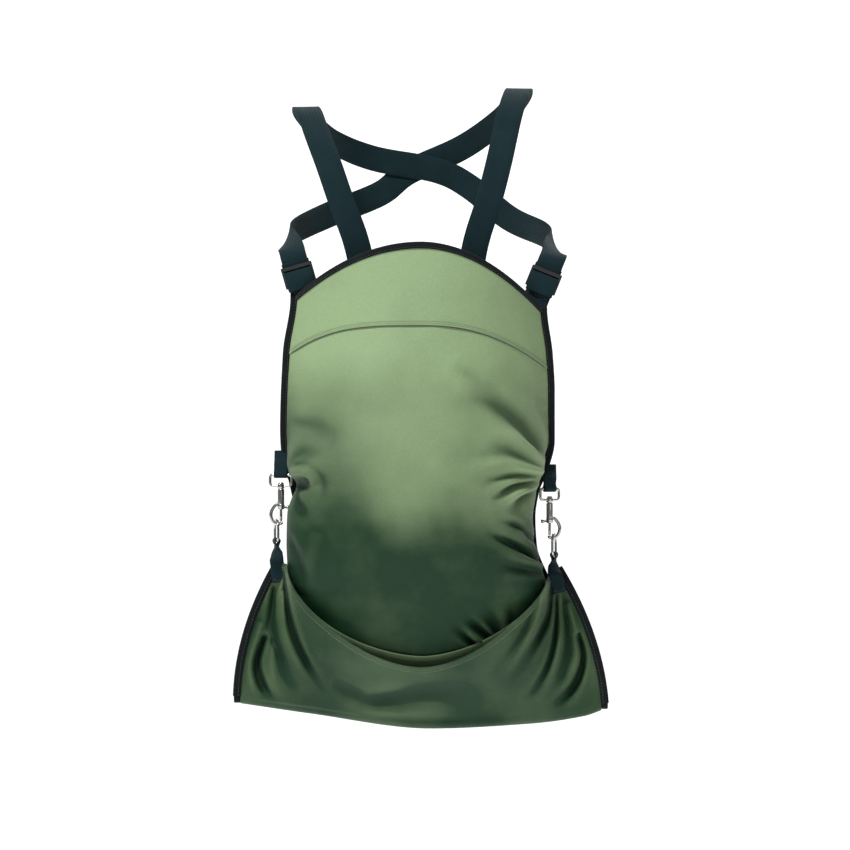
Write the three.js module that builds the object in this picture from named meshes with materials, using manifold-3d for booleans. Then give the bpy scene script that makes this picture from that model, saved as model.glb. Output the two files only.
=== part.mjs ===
// A fruit picking bag: a cloth tube worn on the chest, whose lower end is folded up in front and
// hooked to the sides with swivel bolt snaps. Unhooked, the folded chute drops and the fruit runs out.
// Millimetres. +X is the bag's right-hand side seen from the front, -Y is the front, +Z is up.
// The origin lies midway between the tops of the two shoulder straps.
import * as THREE from 'three';
import Module from 'manifold-3d';
import { mergeVertices } from 'three/addons/utils/BufferGeometryUtils.js';

const wasm = await Module();
wasm.setup();

// ---- Driving dimensions ----

const GAP = 0.3; // kept between neighbouring pieces
const CLOTH = 2; // thickness of a cloth layer's solid
const BINDING = 9; // visible width of the black edge tape
const EDGE_ROOM = 2; // between the side tape and the slanting edge of a cloth layer
const WEB = 38; // shoulder webbing
const WEB_THICK = 1.8;
const PLY_GAP = 0.5; // between the two plies of folded webbing
const TWISTED_PLY_GAP = 0.9; // the same, where the webbing turns as it leaves its bar
const SMALL_WEB = 20; // webbing of the snap loops and ring tabs
const MOUTH_TOP = -216; // top of the front edge at the middle
const REAR_TOP = -220; // top of the rear panel at the middle
const SEAT_DEPTH = 8; // front layer's distance in front of the wearer's side, at the side seams
const LAYER_STEP = 6.5; // from one folded layer to the next, front to back
const FOLD_HALF = 270; // half the length of the folded bottom edge
const FOLD_ROLL = 10; // height of the rounded fold
const FOOT_HALF = FOLD_HALF - BINDING - GAP; // half the length of each layer's lower edge
const CREST_Y = 105; // shoulder line behind the bag's rear face

// What differs from side to side: the bag hangs a little askew on its wearer.
const SIDES = {
  left: {
    sign: -1,
    edge: [[-216, 188], [-293, 188], [-373, 199], [-484, 203], [-530, 200], [-560, 190],
      [-600, 183], [-650, 182], [-700, 197], [-800, 241], [-930, 285]],
    mouthDrop: 77,
    mouthPower: 2.0,
    seamDrop: 38,
    seamPower: 3.0,
    lipHalf: 200,
    lipTop: -684,
    lipPower: 1.85,
    snapX: -202,
    snapZ: -549,
    eyeYaw: 10,
    tabFoot: [-207, -712],
    lock: [-173.4, -272.5],
    lockLean: 16,
    crestX: -167,
    crestZ: -13,
  },
  right: {
    sign: 1,
    edge: [[-216, 182], [-307, 182], [-373, 190], [-429, 193], [-500, 193], [-540, 184],
      [-575, 170], [-610, 165], [-650, 167], [-700, 186], [-800, 238], [-930, 285]],
    mouthDrop: 91,
    mouthPower: 2.2,
    seamDrop: 61,
    seamPower: 2.4,
    lipHalf: 190,
    lipTop: -688,
    lipPower: 1.7,
    snapX: 186,
    snapZ: -569,
    eyeYaw: 32,
    tabFoot: [197, -722],
    lock: [173, -279],
    lockLean: 22,
    crestX: 141,
    crestZ: 13,
  },
};

// Fold line along X, belly depth down the middle, as [place, value].
const FOLD_LINE = [[-270, -878], [-161, -894], [15, -916], [158, -909], [236, -898], [270, -886]];
const BELLY = [[-216, 80], [-335, 94], [-450, 118], [-560, 138], [-640, 132], [-720, 104],
  [-800, 66], [-862, 22], [-906, 0], [-930, 0]];
const BELLY_POWER = 2.4; // how squarely the belly turns into its side seams

const YOKE_SEAM = -335; // seam under the yoke, at the middle
const LIP_RISE = { inner: 129, outer: 147 }; // drop of the chute's two lips below their ends
const MOUTH_GAPE = 18; // extra room between the chute's two lips at the middle
const FLAP_BULGE = 13; // outward bow of the flap's sides

// Swivel bolt snap, measured down from the middle of its eye's top bar.
const SNAP_Y = -24; // plane of the snap and of the D-ring
const EYE = { width: 32, height: 16, wire: 2 }; // centre line of the rectangular eye
const BARREL = { radius: 4.8, bore: 2.5, top: -20.3, bottom: -50, web: -24, boreTop: -25.5 };
const HOOK_WIRE = 2.5;
const BOLT = { radius: 2, top: -44, bottom: -67.4, knob: -47, travel: 8.5 };
const RING = { half: 14, wire: 1.8, drop: 64.4 }; // half its inner-line width; top below the eye's bar
const RING_HEIGHT = 31;
const RING_YAW = 78; // the ring hangs nearly edge-on
const WIRE_LOOP = 2.9; // inner radius of the webbing folded round a wire
const SEWN_RISE = 34; // a snap loop's height above its bar, into the side seam

const LOCK = { width: 46, thick: 4, bar: 5, bars: [0, 13, 26] }; // ladder-lock buckle
const LOCK_LOOP = 3.7; // inner radius of the webbing folded round its lower bar
const LOCK_Y = -4.8;
const TAB_LENGTH = -30; // down from the buckle's lower bar into the bag's corner
const LOCK_TOP = 34.5; // where the shoulder strap takes over from the buckle's own webbing

// ---- Materials ----

const colours = {
  light_cloth: [0x98ab84, 0.75, 0],
  dark_cloth: [0x566f52, 0.75, 0],
  tape: [0x141a19, 0.85, 0],
  webbing: [0x1c2a2c, 0.85, 0],
  plastic: [0x121514, 0.45, 0],
  nickel: [0xc9cbc9, 0.2, 1],
  spring_steel: [0x9a9c9d, 0.35, 1],
};

function material(name) {
  const [color, roughness, metalness] = colours[name];
  return new THREE.MeshStandardMaterial({ name, color, roughness, metalness, side: THREE.DoubleSide });
}

const bag = new THREE.Group();

function add(name, materialName, geometry, parent = bag) {
  const mesh = new THREE.Mesh(geometry, material(materialName));
  mesh.name = name;
  parent.add(mesh);
  return mesh;
}

// ---- Geometry helpers ----

const along = (x, y, z) => new THREE.Vector3(x, y, z);
const radians = THREE.MathUtils.degToRad;
const lerp = THREE.MathUtils.lerp;

// A smooth value between knots [place, value], which run one way; it never overshoots a knot.
function between(knots, place) {
  const way = Math.sign(knots[1][0] - knots[0][0]);
  let i = 0;
  while (i < knots.length - 2 && (knots[i + 1][0] - place) * way < 0) i += 1;
  const slope = (k) => (knots[k + 1][1] - knots[k][1]) / (knots[k + 1][0] - knots[k][0]);
  const tangent = (k) => {
    if (k === 0) return slope(0);
    if (k === knots.length - 1) return slope(k - 1);
    const [before, after] = [slope(k - 1), slope(k)];
    return before * after <= 0 ? 0 : (2 * before * after) / (before + after);
  };
  const [[a, low], [b, high]] = [knots[i], knots[i + 1]];
  const t = THREE.MathUtils.clamp((place - a) / (b - a), 0, 1);
  const span = b - a;
  const hold = 1 - t;
  return low * (1 + 2 * t) * hold * hold + tangent(i) * span * t * hold * hold
    + high * t * t * (3 - 2 * t) - tangent(i + 1) * span * t * t * hold;
}

// A closed body through rings of points. Each ring has an even number of points; its end cap pairs
// the first with the last, the second with the last but one, and so on. A closed loft has no caps.
// The two halves of a ring are split along the same diagonals, so that a thin twisted layer never
// passes through itself. From the ring mirrorFrom on they are split along the other diagonals.
function loft(rings, closed = false, mirrorFrom = Infinity) {
  const count = rings[0].length;
  const positions = rings.flat().flatMap((p) => [p.x, p.y, p.z]);
  const index = [];
  const quad = (a, b, c, d) => index.push(a, b, c, a, c, d);
  const quadAcross = (a, b, c, d) => index.push(a, b, d, b, c, d);
  const spans = closed ? rings.length : rings.length - 1;
  for (let i = 0; i < spans; i += 1) {
    const here = i * count;
    const next = ((i + 1) % rings.length) * count;
    for (let j = 0; j < count; j += 1) {
      const k = (j + 1) % count;
      const split = (j < count / 2) === (i < mirrorFrom) ? quad : quadAcross;
      split(here + j, here + k, next + k, next + j);
    }
  }
  if (!closed) {
    const last = (rings.length - 1) * count;
    for (let j = 0; j < count / 2 - 1; j += 1) {
      const m = count - 1 - j;
      quad(j, m, m - 1, j + 1);
      quad(last + j, last + j + 1, last + m - 1, last + m);
    }
  }
  let volume = 0;
  const [a, b, c] = [along(0, 0, 0), along(0, 0, 0), along(0, 0, 0)];
  for (let i = 0; i < index.length; i += 3) {
    a.fromArray(positions, index[i] * 3);
    b.fromArray(positions, index[i + 1] * 3);
    c.fromArray(positions, index[i + 2] * 3);
    volume += a.dot(b.cross(c));
  }
  const geometry = new THREE.BufferGeometry();
  geometry.setAttribute('position', new THREE.Float32BufferAttribute(positions, 3));
  geometry.setIndex(volume > 0 ? index : index.reverse());
  return geometry;
}

// A layer of even thickness over point(u, v), with u and v from 0 to 1.
function layer(point, columns, rows, thickness = CLOTH) {
  const step = 1e-3;
  const rings = [];
  for (let i = 0; i <= columns; i += 1) {
    const front = [];
    const back = [];
    for (let j = 0; j <= rows; j += 1) {
      const [u, v] = [i / columns, j / rows];
      const [u0, u1] = [Math.max(u - step, 0), Math.min(u + step, 1)];
      const [v0, v1] = [Math.max(v - step, 0), Math.min(v + step, 1)];
      const across = point(u1, v).sub(point(u0, v));
      const up = point(u, v1).sub(point(u, v0));
      const out = across.cross(up).normalize().multiplyScalar(thickness / 2);
      front.push(point(u, v).add(out));
      back.push(point(u, v).sub(out));
    }
    rings.push([...front, ...back.reverse()]);
  }
  return loft(rings);
}

// Webbing swept through stations [point, way its face looks], with a few steps to each. Folded
// webbing comes back alongside itself after its middle, and its two plies are split alike. A tight
// path swings out less between unevenly spaced stations.
function webbing(stations, width, thickness = WEB_THICK, stepsPerStation = 3, folded = false, tight = false) {
  const path = new THREE.CatmullRomCurve3(stations.map(([point]) => along(...point)));
  path.curveType = tight ? 'centripetal' : 'catmullrom';
  const looks = new THREE.CatmullRomCurve3(stations.map(([, look]) => along(...look)));
  looks.curveType = 'catmullrom';
  const steps = (stations.length - 1) * stepsPerStation;
  const rings = [];
  for (let i = 0; i <= steps; i += 1) {
    const t = i / steps;
    const middle = path.getPoint(t);
    const forward = path.getTangent(t);
    const across = forward.clone().cross(looks.getPoint(t)).normalize();
    const face = across.clone().cross(forward).normalize();
    across.multiplyScalar(width / 2);
    face.multiplyScalar(thickness / 2);
    rings.push([
      middle.clone().add(across).add(face),
      middle.clone().sub(across).add(face),
      middle.clone().sub(across).sub(face),
      middle.clone().add(across).sub(face),
    ]);
  }
  return loft(rings, false, folded ? steps / 2 : Infinity);
}

// Round wire bent in the XZ plane through points [x, z].
function bentWire(points, radius, closed, facets = 8) {
  const rings = points.map(([x, z], i) => {
    const wrap = (k) => (closed ? (k + points.length) % points.length
      : THREE.MathUtils.clamp(k, 0, points.length - 1));
    const [before, after] = [points[wrap(i - 1)], points[wrap(i + 1)]];
    const tangent = along(after[0] - before[0], 0, after[1] - before[1]).normalize();
    const aside = tangent.clone().cross(along(0, 1, 0));
    return Array.from({ length: facets }, (_, j) => {
      const turn = (2 * Math.PI * (j + 0.5)) / facets;
      return along(x, 0, z)
        .addScaledVector(aside, radius * Math.cos(turn))
        .add(along(0, radius * Math.sin(turn), 0));
    });
  });
  return loft(rings, closed);
}

// A flat outline [x, z] with a thickness from front to back, and optional holes.
function plate(outline, front, back, holes = []) {
  const shape = new THREE.Shape(outline.map(([x, z]) => new THREE.Vector2(x, z)));
  for (const hole of holes) shape.holes.push(new THREE.Path(hole.map(([x, z]) => new THREE.Vector2(x, z))));
  const geometry = new THREE.ExtrudeGeometry(shape, { depth: back - front, bevelEnabled: false });
  return geometry.rotateX(Math.PI / 2).translate(0, back, 0);
}

function rod(radius, from, to, facets = 12) {
  const axis = to.clone().sub(from);
  const geometry = new THREE.CylinderGeometry(radius, radius, axis.length(), facets);
  const turn = new THREE.Quaternion().setFromUnitVectors(along(0, 1, 0), axis.clone().normalize());
  return geometry.applyQuaternion(turn).translate(...from.clone().add(to).multiplyScalar(0.5).toArray());
}

// A turned piece about the Z axis, from [radius, z] points that start and end on the axis.
function turned(profile, facets = 16) {
  const points = profile.map(([radius, z]) => new THREE.Vector2(radius, z));
  return new THREE.LatheGeometry(points, facets).rotateX(Math.PI / 2);
}

function toSolid(geometry) {
  const bare = geometry.clone();
  bare.deleteAttribute('normal');
  bare.deleteAttribute('uv');
  const merged = mergeVertices(bare, 1e-4);
  const solid = new wasm.Manifold(new wasm.Mesh({
    numProp: 3,
    vertProperties: new Float32Array(merged.attributes.position.array),
    triVerts: new Uint32Array(merged.index.array),
  }));
  return solid;
}

function fromSolid(solid) {
  const mesh = solid.getMesh();
  const geometry = new THREE.BufferGeometry();
  geometry.setAttribute('position', new THREE.BufferAttribute(new Float32Array(mesh.vertProperties), 3));
  geometry.setIndex(new THREE.BufferAttribute(new Uint32Array(mesh.triVerts), 1));
  return geometry;
}

const joined = (first, ...others) => others.reduce((all, one) => all.add(toSolid(one)), toSolid(first));
const cut = (solid, ...tools) => tools.reduce((left, tool) => left.subtract(toSolid(tool)), solid);

// ---- The bag's form ----

const sideOf = (x) => (x < 0 ? SIDES.left : SIDES.right);
const seamX = (side, z) => between(side.edge, z); // outer edge of the side tape
const clothX = (side, z) => seamX(side, z) - BINDING - EDGE_ROOM; // edge of the cloth inside the tape
const foldZ = (x) => between(FOLD_LINE, THREE.MathUtils.clamp(x, -FOLD_HALF, FOLD_HALF));
const layerFoot = (x) => foldZ(x) + FOLD_ROLL + 3 * GAP;

// How far the full bag stands in front of its side seams at x, z.
function belly(x, z) {
  const t = Math.min(Math.abs(x) / clothX(sideOf(x), z), 1);
  return between(BELLY, z) * (1 - t ** BELLY_POWER);
}

const frontMouthZ = (s) => MOUTH_TOP - sideOf(s).mouthDrop * Math.abs(s) ** sideOf(s).mouthPower;
const rearMouthZ = (s) => frontMouthZ(s) + (REAR_TOP - MOUTH_TOP) * (1 - s * s);
const yokeSeamZ = (s) => YOKE_SEAM - sideOf(s).seamDrop * Math.abs(s) ** sideOf(s).seamPower;

// A point of the front layer: s runs from seam to seam, z is the height.
function frontPoint(s, z) {
  const x = s * clothX(sideOf(s), z);
  return along(x, -SEAT_DEPTH - belly(x, z), z);
}

// A point of the front between two heights that vary along s.
function frontBand(low, high) {
  return (u, v) => {
    const s = 2 * u - 1;
    return frontPoint(s, lerp(low(s), high(s), v));
  };
}

const bodyFoot = (s) => layerFoot(s * FOOT_HALF);

// A point of the chute's layer: s from side to side, v from the fold to the lip.
function chutePoint(s, v, rise, depth, gape) {
  const side = sideOf(s);
  const footX = s * FOOT_HALF;
  const turn = Math.sin((s * Math.PI) / 2);
  const topX = side.sign * side.lipHalf * Math.abs(turn);
  const hang = Math.max(1 - Math.abs(turn) ** side.lipPower, 0) ** (1 / side.lipPower);
  const topZ = side.lipTop - rise * hang;
  const bow = FLAP_BULGE * 4 * v * (1 - v) * Math.abs(s) ** 3 * side.sign;
  const x = lerp(footX, topX, v) + bow;
  const z = lerp(layerFoot(footX), topZ, v);
  return along(x, -SEAT_DEPTH - depth - belly(x, z) - gape * v * (1 - s * s) ** 2, z);
}

const innerChute = (s, v) => chutePoint(s, v, LIP_RISE.inner, LAYER_STEP, 0);
const outerChute = (s, v) => chutePoint(s, v, LIP_RISE.outer, 2 * LAYER_STEP, MOUTH_GAPE);

// ---- Cloth ----

// The rear panel's outline: down one seam, along the fold and up the other, then over the top.
function rearOutline() {
  const steps = 14;
  const outline = [];
  for (let i = 0; i <= steps; i += 1) {
    const z = lerp(rearMouthZ(-1) - BINDING - EDGE_ROOM, layerFoot(-FOLD_HALF), i / steps);
    outline.push([-clothX(SIDES.left, z), z]);
  }
  for (let i = 1; i < steps; i += 1) {
    const x = lerp(outline[steps][0], FOLD_HALF - BINDING, i / steps);
    outline.push([x, layerFoot(x)]);
  }
  for (let i = 0; i <= steps; i += 1) {
    const z = lerp(layerFoot(FOLD_HALF), rearMouthZ(1) - BINDING - EDGE_ROOM, i / steps);
    outline.push([clothX(SIDES.right, z), z]);
  }
  for (let i = 1; i < steps; i += 1) {
    const s = 1 - (2 * i) / steps;
    const z = rearMouthZ(s) - BINDING - EDGE_ROOM;
    outline.push([s * clothX(sideOf(s), z), z]);
  }
  return outline;
}

function addBody() {
  const seamGap = GAP / 2;
  add('front_yoke', 'light_cloth', layer(
    frontBand((s) => yokeSeamZ(s) + seamGap, (s) => frontMouthZ(s) - BINDING - GAP), 18, 4));
  add('front_panel', 'light_cloth', layer(frontBand(bodyFoot, (s) => yokeSeamZ(s) - seamGap), 20, 16));
  add('rear_panel', 'dark_cloth', plate(rearOutline(), -CLOTH, 0));
}

// The tape along the top of the front, and the flat one along the top of the rear.
function addMouthTapes() {
  const tapeThick = 3;
  const front = frontBand((s) => frontMouthZ(s) - BINDING, frontMouthZ);
  add('front_mouth_binding', 'tape', layer(front, 24, 1, tapeThick));
  const steps = 24;
  const edge = (down) => Array.from({ length: steps + 1 }, (_, i) => {
    const s = (2 * i) / steps - 1;
    const z = rearMouthZ(s);
    return [s * clothX(sideOf(s), z), z - down];
  });
  add('rear_mouth_binding', 'tape', plate([...edge(0), ...edge(BINDING).reverse()], -CLOTH - 0.4, 0));
}

// Where a corner's buckle turns on its tab: the middle of the buckle's lower bar.
function cornerPlace(side) {
  return new THREE.Matrix4().makeRotationY(side.sign * radians(side.lockLean))
    .setPosition(side.lock[0], LOCK_Y, side.lock[1]);
}

// The passages that the corner tab's and the snap loop's webbing take through the side tape.
function seamPassages(side) {
  const room = 0.8;
  const doubled = 2 * (WEB_THICK + room) + PLY_GAP;
  const box = (width, length) => new THREE.BoxGeometry(width + 2 * room, doubled, Math.abs(length) + room)
    .translate(0, 0, (length + Math.sign(length) * room) / 2);
  const tab = box(WEB, TAB_LENGTH);
  const loop = box(SMALL_WEB, Math.hypot(SEWN_RISE, LOCK_Y - SNAP_Y));
  const slant = Math.atan2(SNAP_Y - LOCK_Y, SEWN_RISE);
  return [
    tab.applyMatrix4(cornerPlace(side)),
    loop.rotateX(slant).translate(side.snapX, SNAP_Y, side.snapZ),
  ];
}

function addSideTape(name, side) {
  const steps = 22;
  const top = rearMouthZ(side.sign);
  const bottom = layerFoot(side.sign * FOLD_HALF);
  const edge = (inset) => Array.from({ length: steps + 1 }, (_, i) => {
    const z = lerp(top, bottom, i / steps);
    return [side.sign * (seamX(side, z) - inset), z];
  });
  const band = plate([...edge(0), ...edge(BINDING).reverse()], -SEAT_DEPTH - CLOTH, 0);
  add(`side_binding_${name}`, 'tape', fromSolid(cut(toSolid(band), ...seamPassages(side))));
}

// ---- The chute: two more layers, folded up in front ----

function addChute() {
  const across = (surface, low, high) => (u, v) => surface(2 * u - 1, lerp(low, high, v));
  const hemShare = 0.93; // the hem takes the rest, up to the lip
  const hemThick = 3;
  add('chute_inner', 'dark_cloth', layer(across(innerChute, 0, hemShare - 0.012), 20, 5));
  add('chute_outer', 'dark_cloth', layer(across(outerChute, 0, hemShare - 0.012), 20, 5));
  add('chute_inner_hem', 'dark_cloth', layer(across(innerChute, hemShare, 1), 24, 1, hemThick));
  add('chute_outer_hem', 'dark_cloth', layer(across(outerChute, hemShare, 1), 24, 1, hemThick));
}

// Cloth rolled under the folded layers: round from the rear to the front.
function foldRoll(rear, front, height) {
  return (u, w) => {
    const x = lerp(-FOOT_HALF, FOOT_HALF, u);
    const turn = Math.PI * w;
    const y = lerp(rear, front, (1 - Math.cos(turn)) / 2);
    return along(x, y, foldZ(x) + FOLD_ROLL - height * Math.sin(turn));
  };
}

function addFold() {
  const half = CLOTH / 2;
  const outerFront = -SEAT_DEPTH - 2 * LAYER_STEP;
  const innerFront = -SEAT_DEPTH - LAYER_STEP;
  add('chute_fold_outer', 'dark_cloth', layer(foldRoll(-half, outerFront, FOLD_ROLL), 20, 5));
  add('chute_fold_inner', 'dark_cloth', layer(foldRoll(-SEAT_DEPTH, innerFront, FOLD_ROLL / 3), 20, 4));
}

function addChuteTape(name, side) {
  const steps = 10;
  const edge = (proud) => Array.from({ length: steps + 1 }, (_, i) => {
    const point = innerChute(side.sign, i / steps);
    return [point.x + side.sign * proud, point.z];
  });
  const [front, back] = [-SEAT_DEPTH - 2 * LAYER_STEP - 2, -SEAT_DEPTH - LAYER_STEP + 2];
  const outline = [...edge(1), ...edge(1 + BINDING).reverse()];
  add(`chute_binding_${name}`, 'tape', plate(outline, front, back));
}

// ---- Webbing ----

// Webbing folded round a level bar that is turned by yaw. Its two plies lie together and leave
// upwards (rise 1) or downwards (rise -1), then turn to face the front along the route.
function foldedTab({ bar, yaw, rise, route, width, inner }) {
  const middle = along(...bar);
  const face = along(Math.sin(yaw), -Math.cos(yaw), 0);
  const away = along(0, 0, rise);
  const front = along(0, -1, 0);
  const radius = inner + WEB_THICK / 2;
  const tail = [[middle.clone().addScaledVector(away, 2 * radius), face]];
  const turnsOver = Math.max(route.length - 1, 1);
  const twisted = yaw !== 0;
  const gap = twisted ? TWISTED_PLY_GAP : PLY_GAP;
  route.forEach((point, i) => {
    const turned = Math.sin((Math.PI / 2) * Math.min((i + 1) / turnsOver, 1));
    tail.push([along(...point), face.clone().lerp(front, turned)]);
  });
  const round = [0, 45, 90, 135, 180].map((degrees) => {
    const turn = radians(degrees);
    const look = face.clone().multiplyScalar(Math.cos(turn)).addScaledVector(away, -Math.sin(turn));
    return [middle.clone().addScaledVector(look, radius), look];
  });
  const ply = (way) => tail.map(([point, look], i) => {
    const after = tail[Math.min(i + 1, tail.length - 1)][0];
    const forward = i > 0 ? after.clone().sub(tail[i - 1][0]) : away;
    const off = forward.clone().cross(look).cross(forward).setLength(way);
    return [point.clone().addScaledVector(off, (WEB_THICK + gap) / 2), off];
  });
  const neck = (way) => [
    middle.clone().addScaledVector(away, 1.2 * radius).addScaledVector(face, 0.55 * way * radius),
    face.clone().multiplyScalar(way),
  ];
  const stations = [...ply(1).reverse(), neck(1), ...round, neck(-1), ...ply(-1)];
  return webbing(
    stations.map(([point, look]) => [point.toArray(), look.toArray()]), width, WEB_THICK, 3, true, twisted);
}

// A strap is sewn inside the rear panel's top, goes over its own shoulder, crosses the back outside
// or inside the other strap, and comes round the ribs to the opposite corner.
function addStrap(name, side, far, crossing) {
  const out = side.sign;
  const [x, z] = [side.crestX, side.crestZ];
  const sewn = -SEAT_DEPTH + 2.6;
  const lean = radians(far.lockLean);
  const end = [far.lock[0] + far.sign * LOCK_TOP * Math.sin(lean), far.lock[1] + LOCK_TOP * Math.cos(lean)];
  const upLock = (reach, y) => [end[0] + far.sign * reach * Math.sin(lean), y, end[1] + reach * Math.cos(lean)];
  const stations = [
    [[0.44 * x, sewn, -325], [0, -1, 0]],
    [[0.5 * x, sewn, -250], [0, -1, 0]],
    [[0.56 * x, sewn - 0.3, -205], [0, -1, 0]],
    [[0.68 * x, 0, -150], [0, -1, 0.1]],
    [[0.78 * x, 12, -98 + z / 4], [0, -1, 0.35]],
    [[0.88 * x, 36, -46 + z], [0, -1, 0.8]],
    [[0.96 * x, 70, -8 + z], [0, -0.6, 1]],
    [[x, CREST_Y, z], [0, 0, 1]],
    [[0.98 * x, 150, z - 12], [0, 0.5, 1]],
    [[0.78 * x, 200, z - 42], [0, 1, 0.6]],
    [[0.42 * x, crossing - 4, 0.6 * z - 70], [0, 1, 0.2]],
    [[-0.13 * out * x * out, crossing, -94 - 0.1 * z], [0, 1, 0]],
    [[-0.42 * x, crossing - 5, -121 - 0.4 * z], [0, 1, 0]],
    [[far.sign * 132, 200, end[1] + 80], [0.25 * far.sign, 1, 0]],
    [[far.sign * 180, 140, end[1] + 54], [far.sign, 0.6, 0]],
    [[far.sign * 195, 85, end[1] + 38], [far.sign, 0, 0.2]],
    [[far.sign * 195, 46, end[1] + 30], [far.sign, -0.1, 1]],
    [upLock(22, 15), [0.2 * far.sign, -0.8, 0.7]],
    [upLock(10, 2), [0, -1, 0.2]],
    [upLock(1, LOCK_Y + 3.4), [0, -1, 0]],
  ];
  add(`shoulder_strap_${name}`, 'webbing', webbing(stations, WEB));
}

// ---- Buckles at the bag's top corners ----

function addBuckle(name, side) {
  const corner = new THREE.Group();
  corner.applyMatrix4(cornerPlace(side));
  bag.add(corner);

  const half = LOCK.bar / 2;
  const rail = 3;
  const top = LOCK.bars[2] + half;
  const rectangle = (x, low, high) => [[-x, low], [x, low], [x, high], [-x, high]];
  const slots = [0, 1].map((i) => rectangle(
    LOCK.width / 2 - rail, LOCK.bars[i] + half, LOCK.bars[i + 1] - half));
  const frame = plate(rectangle(LOCK.width / 2, -half, top), -LOCK.thick / 2, LOCK.thick / 2, slots);
  add(`ladder_lock_${name}`, 'plastic', frame, corner);

  add(`corner_tab_${name}`, 'webbing',
    foldedTab({
      bar: [0, 0, 0], yaw: 0, rise: -1, route: [[0, 0, TAB_LENGTH]], width: WEB, inner: LOCK_LOOP,
    }), corner);

  // The strap's end comes down behind the buckle, through its upper slot and down over its front.
  const behind = LOCK.thick / 2 + 1.4;
  const slotZ = (LOCK.bars[1] + LOCK.bars[2]) / 2;
  const ahead = LOCK_LOOP + WEB_THICK + 1.6;
  add(`strap_tail_${name}`, 'webbing', webbing([
    [[0, behind, LOCK_TOP - GAP], [0, -1, 0]],
    [[0, behind, slotZ + 5], [0, -1, 0]],
    [[0, behind - 2.2, slotZ + 0.8], [0, -0.5, 1]],
    [[0, -behind + 1.6, slotZ + 0.4], [0, -0.4, 1]],
    [[0, -behind - 1.2, slotZ - 4], [0, -1, 0.3]],
    [[0, -ahead, 6], [0, -1, 0]],
    [[0, -ahead, -8], [0, -1, 0]],
  ], WEB - 1, WEB_THICK, 4), corner);
}

// ---- Swivel bolt snaps and D-rings ----

// The eye: a rectangle of wire with a drilled boss in the middle of its lower bar.
function eyeGeometry() {
  const corner = 4;
  const [x, z] = [EYE.width / 2, EYE.height];
  const path = new THREE.Path();
  path.moveTo(-x + corner, 0);
  path.lineTo(x - corner, 0);
  path.absarc(x - corner, -corner, corner, Math.PI / 2, 0, true);
  path.lineTo(x, -z + corner);
  path.absarc(x - corner, -z + corner, corner, 0, -Math.PI / 2, true);
  path.lineTo(-x + corner, -z);
  path.absarc(-x + corner, -z + corner, corner, -Math.PI / 2, -Math.PI, true);
  path.lineTo(-x, -corner);
  path.absarc(-x + corner, -corner, corner, Math.PI, Math.PI / 2, true);
  const points = path.getPoints(3).map((p) => [p.x, p.y]);
  const distinct = points.filter(([a, b], i) => {
    const [c, d] = points[(i + 1) % points.length];
    return Math.hypot(a - c, b - d) > 1e-3;
  });
  const boss = rod(5, along(0, 0, -z - 4), along(0, 0, -z + 2.6), 16);
  const hole = rod(2.6, along(0, 0, -z - 6), along(0, 0, -z + 4), 16);
  return fromSolid(cut(joined(bentWire(distinct, EYE.wire, true), boss), hole));
}

// The swivel rivet: its head turns inside the eye and its shank is fast in the barrel.
function rivetGeometry() {
  const seat = -EYE.height + 2.6 + GAP;
  const foot = BARREL.web + GAP;
  return turned([[0, foot], [2.2, foot], [2.2, seat], [4.4, seat], [3.4, seat + 2.2], [0, seat + 2.2]]);
}

// The hook: a bored barrel whose wire leaves on the outer side and curls round under the bolt.
function snapBodyGeometry() {
  const { radius, bore, top, bottom, web, boreTop } = BARREL;
  const barrel = turned([[0, boreTop], [bore, boreTop], [bore, bottom], [radius, bottom],
    [radius, top], [bore, top], [bore, web], [0, web]]);
  const bend = new THREE.SplineCurve([
    [2.6 + HOOK_WIRE, -42], [9.5, -45.5], [13.8, -53], [14.2, -61], [10.6, -68.4], [4.5, -71.2], [0, -70.2],
  ].map(([x, z]) => new THREE.Vector2(x, z)));
  const hook = bentWire(bend.getPoints(16).map((p) => [p.x, p.y]), HOOK_WIRE, false);
  const knobSlot = new THREE.BoxGeometry(6, 3.6, BOLT.travel + 4)
    .translate(-4, 0, BOLT.knob + BOLT.travel / 2);
  const boltWay = rod(bore, along(0, 0, bottom - 2), along(0, 0, boreTop), 16);
  return fromSolid(cut(joined(barrel, hook), boltWay, knobSlot));
}

function boltGeometry() {
  const shank = rod(BOLT.radius, along(0, 0, BOLT.bottom), along(0, 0, BOLT.top));
  const stem = rod(1.4, along(0, 0, BOLT.knob), along(-8.5, 0, BOLT.knob));
  const knob = new THREE.SphereGeometry(3, 12, 8).translate(-9.6, 0, BOLT.knob);
  return fromSolid(joined(shank, stem, knob));
}

function springGeometry() {
  const [turns, wire, radius] = [7, 0.4, 1.7];
  const [low, high] = [BOLT.top + GAP + wire, BARREL.boreTop - GAP - wire];
  class Helix extends THREE.Curve {
    getPoint(t, target = new THREE.Vector3()) {
      const turn = 2 * Math.PI * turns * t;
      return target.set(radius * Math.cos(turn), radius * Math.sin(turn), lerp(low, high, t));
    }
  }
  const section = new THREE.Shape();
  section.absarc(0, 0, wire, 0, 2 * Math.PI, false);
  return new THREE.ExtrudeGeometry(section, {
    steps: turns * 8, extrudePath: new Helix(), bevelEnabled: false, curveSegments: 2,
  });
}

function ringGeometry() {
  const { half, wire } = RING;
  const corner = 4;
  const path = new THREE.Path();
  path.moveTo(-half + corner, 0);
  path.lineTo(half - corner, 0);
  path.absarc(half - corner, corner, corner, -Math.PI / 2, 0, false);
  path.lineTo(half, RING_HEIGHT - half);
  path.absarc(0, RING_HEIGHT - half, half, 0, Math.PI, false);
  path.lineTo(-half, corner);
  path.absarc(-half + corner, corner, corner, Math.PI, 1.5 * Math.PI, false);
  const points = path.getSpacedPoints(34).map((p) => [p.x, p.y]);
  points.pop();
  return bentWire(points, wire, true);
}

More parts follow.
